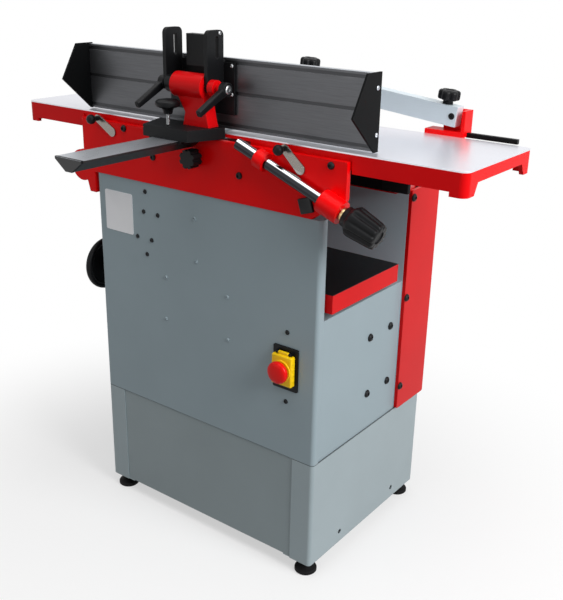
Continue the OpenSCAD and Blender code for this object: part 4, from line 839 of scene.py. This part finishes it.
pivotScrew = stamped(socketHead(*guard["screw"]), [Vector(guard["pivot"]) + Vector(guard["seat"])], nearward)
piece("guardPivotScrew", pivotScrew, "darkSteel", "guard")
piece("guardKnobArm", starKnob(guard["knobs"][0]), "plastic", "guard_clamp_arm",
      ["guard_knob_arm"], guard["sharp"])
piece("guardKnobBlade", starKnob(guard["knobs"][1]), "plastic", "guard_clamp_blade",
      ["guard_knob_blade"], guard["sharp"])

# dished back plate of the handwheel, behind its web
wheel = {"back": (-0.3638, -0.009, 0.553), "inner": 0.0176, "outer": 0.0462, "thick": 0.0012, "dish": 0.0014,
         "steps": 64}


def wheelBack():
    inner, outer, thick = wheel["inner"], wheel["outer"], wheel["thick"]
    crest = ((inner + outer) / 2, thick + wheel["dish"])
    bm = spun([(inner, 0), (outer, 0), (outer, thick), crest, (inner, thick), (inner, 0)], wheel["steps"])
    return stamped(bm, [wheel["back"]], rightward)


piece("wheelBackPlate", wheelBack(), "black", "height_wheel")
print("knobs and handles set")

# screws of the fence's end caps
fenceCap = {"x": 0.3575, "seat": 0.0002, "spots": ((-0.0388, 1.026), (-0.0350, 0.947)),
            "screw": (0.0085, 0.0022, 0.0018)}
capScrews = bmesh.new()
for side in (-1, 1):
    spots = [(side * (fenceCap["x"] - fenceCap["seat"]), y, z) for y, z in fenceCap["spots"]]
    stamp(capScrews, socketHead(*fenceCap["screw"]), spots, (side, 0, 0))
piece("fenceCapScrews", capScrews, "bar", "fence")

# bolts of the fence mount, and the one on its upright
mount = {"screw": (0.0075, 0.0022, 0.0018), "face": -0.043, "x": (-0.106, 0.044), "z": (1.036, 0.984),
         "upright": (0.023, -0.053, 1.094)}
mountSpots = [(x, mount["face"], z) for x in mount["x"] for z in mount["z"]]
mountBolts = stamped(socketHead(*mount["screw"]), mountSpots, nearward)
stamp(mountBolts, socketHead(*mount["screw"]), [mount["upright"]], rightward)
piece("fenceMountBolts", mountBolts, "steel", "fence")

# cap on the near end of the guide bar; brow and foot are shares of the bar's height and half width
endCap = {
    "x": -0.040, "end": -0.372, "top": 0.903, "wide": 0.066, "high": 0.023, "past": 0.0004, "rise": 0.0003,
    "brow": 0.18, "foot": 0.24, "inset": 0.00005, "deep": 0.005, "margin": 0.0025, "sink": 0.0018,
}


def barCap():
    wide, high, crest = endCap["wide"] / 2 + endCap["past"], endCap["high"], endCap["rise"]
    brow, base, foot = -high * endCap["brow"], -high - endCap["past"], wide * endCap["foot"]
    outline = [(-wide, crest), (wide, crest), (wide, brow), (foot, base), (-foot, base), (-wide, brow)]
    depth = endCap["end"] + endCap["inset"]
    bm = bmesh.new()
    face = bm.faces.new([bm.verts.new((endCap["x"] + x, depth, endCap["top"] + z)) for x, z in outline])
    drawOut(bm, [face], (0, endCap["deep"], 0))
    sink(bm, facesToward(bm, nearward), endCap["margin"], (0, endCap["sink"], 0))
    return bm


piece("guideBarCap", barCap(), "plastic", "frame")
print("fittings set")

# camera, taken from the photograph's straight edges
lens = {
    "place": (1.121, -1.3246, 1.2209), "right": (0.798323, 0.601905, 0.019756),
    "down": (0.232333, -0.277554, -0.932194), "ahead": (-0.555609, 0.748782, -0.36142),
    "focal": 876.06, "long": 600, "sensor": 36, "reach": 50,
}
scene = bpy.context.scene
camData = bpy.data.cameras.new("photoCamera")
camera = bpy.data.objects.new("photoCamera", camData)
scene.collection.objects.link(camera)
camData.sensor_width = lens["sensor"]
camData.lens = lens["focal"] * lens["sensor"] / lens["long"]
camData.clip_end = lens["reach"]
turn = Matrix((lens["right"], [-v for v in lens["down"]], [-v for v in lens["ahead"]])).transposed()
camera.matrix_world = Matrix.Translation(lens["place"]) @ turn.to_4x4()
scene.camera = camera

# studio
studio = {
    "lamps": {
        "keyLamp": {"place": (3.0, -0.3, 2.3), "aim": (0.1, 0.1, 0.6), "size": 2.0, "power": 105},
        "topLamp": {"place": (0.1, -0.2, 3.3), "aim": (0, 0.1, 0.5), "size": 2.6, "power": 34},
        "fillLamp": {"place": (-1.2, -3.2, 1.7), "aim": (0, 0, 0.6), "size": 2.2, "power": 10},
    },
    "skyTone": (1, 1, 1, 1), "worldLight": 0.2, "worldSeen": 1.0,
    "floorReach": 14.0, "floorDrop": -0.0005, "floorRough": 0.9, "floorTone": (0.93, 0.93, 0.93, 1),
    "bounceTone": (0.25, 0.25, 0.25, 1), "paleShadow": 0.55, "fadeFrom": 0.45, "fadeTo": 1.2,
}
for name, lamp in studio["lamps"].items():
    data = bpy.data.lights.new(name, "AREA")
    data.shape = "DISK"
    data.size = lamp["size"]
    data.energy = lamp["power"]
    thing = bpy.data.objects.new(name, data)
    scene.collection.objects.link(thing)
    thing.location = lamp["place"]
    thing.rotation_euler = (Vector(lamp["aim"]) - Vector(lamp["place"])).to_track_quat("-Z", "Y").to_euler()


def backgroundSwitch(tree):
    # 1 for rays that see the background itself or its mirror image
    path = addNode(tree, "LightPath")
    first = addNode(tree, "Math", operation="MAXIMUM")
    second = addNode(tree, "Math", operation="MAXIMUM")
    tree.links.new(path.outputs["Is Camera Ray"], first.inputs[0])
    tree.links.new(path.outputs["Is Glossy Ray"], first.inputs[1])
    tree.links.new(first.outputs[0], second.inputs[0])
    tree.links.new(path.outputs["Is Transmission Ray"], second.inputs[1])
    return second.outputs[0]


world = bpy.data.worlds.new("studioWorld")
scene.world = world
world.use_nodes = True
tree = world.node_tree
sky = tree.nodes["Background"]
sky.inputs["Color"].default_value = studio["skyTone"]
strength = addNode(tree, "MapRange", {"To Min": studio["worldLight"], "To Max": studio["worldSeen"]})
tree.links.new(backgroundSwitch(tree), strength.inputs["Value"])
tree.links.new(strength.outputs["Result"], sky.inputs["Strength"])

floorShape = bmesh.new()
bmesh.ops.create_grid(floorShape, x_segments=1, y_segments=1, size=studio["floorReach"])
floorMesh = bpy.data.meshes.new("studioFloor")
floorShape.to_mesh(floorMesh)
floorShape.free()
floor = bpy.data.objects.new("studioFloor", floorMesh)
scene.collection.objects.link(floor)
floor.location.z = studio["floorDrop"]
floor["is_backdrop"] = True

# floor: white far out, with the object's shadow kept near it
floorPaint = bpy.data.materials.new("studioFloor")
floorPaint.use_nodes = True
tree = floorPaint.node_tree
link = tree.links.new
shader = tree.nodes["Principled BSDF"]
seen = backgroundSwitch(tree)
link(mix(tree, "RGBA", seen, studio["bounceTone"], studio["floorTone"]), shader.inputs["Base Color"])
shader.inputs["Roughness"].default_value = studio["floorRough"]
glow = addNode(tree, "Emission")
blend = addNode(tree, "MixShader")
place = addNode(tree, "TexCoord")
reach = addNode(tree, "VectorMath", operation="LENGTH")
fade = addNode(tree, "MapRange", {"From Min": studio["fadeFrom"], "From Max": studio["fadeTo"],
                                  "To Min": studio["paleShadow"]}, interpolation_type="SMOOTHSTEP")
both = addNode(tree, "Math", operation="MULTIPLY")
link(place.outputs["Object"], reach.inputs[0])
link(reach.outputs["Value"], fade.inputs["Value"])
link(fade.outputs["Result"], both.inputs[0])
link(seen, both.inputs[1])
link(both.outputs[0], blend.inputs["Fac"])
link(shader.outputs[0], blend.inputs[1])
link(glow.outputs[0], blend.inputs[2])
link(blend.outputs[0], tree.nodes["Material Output"].inputs["Surface"])
floorMesh.materials.append(floorPaint)
scene.view_settings.view_transform = "Standard"
print("studio set")

low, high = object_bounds()
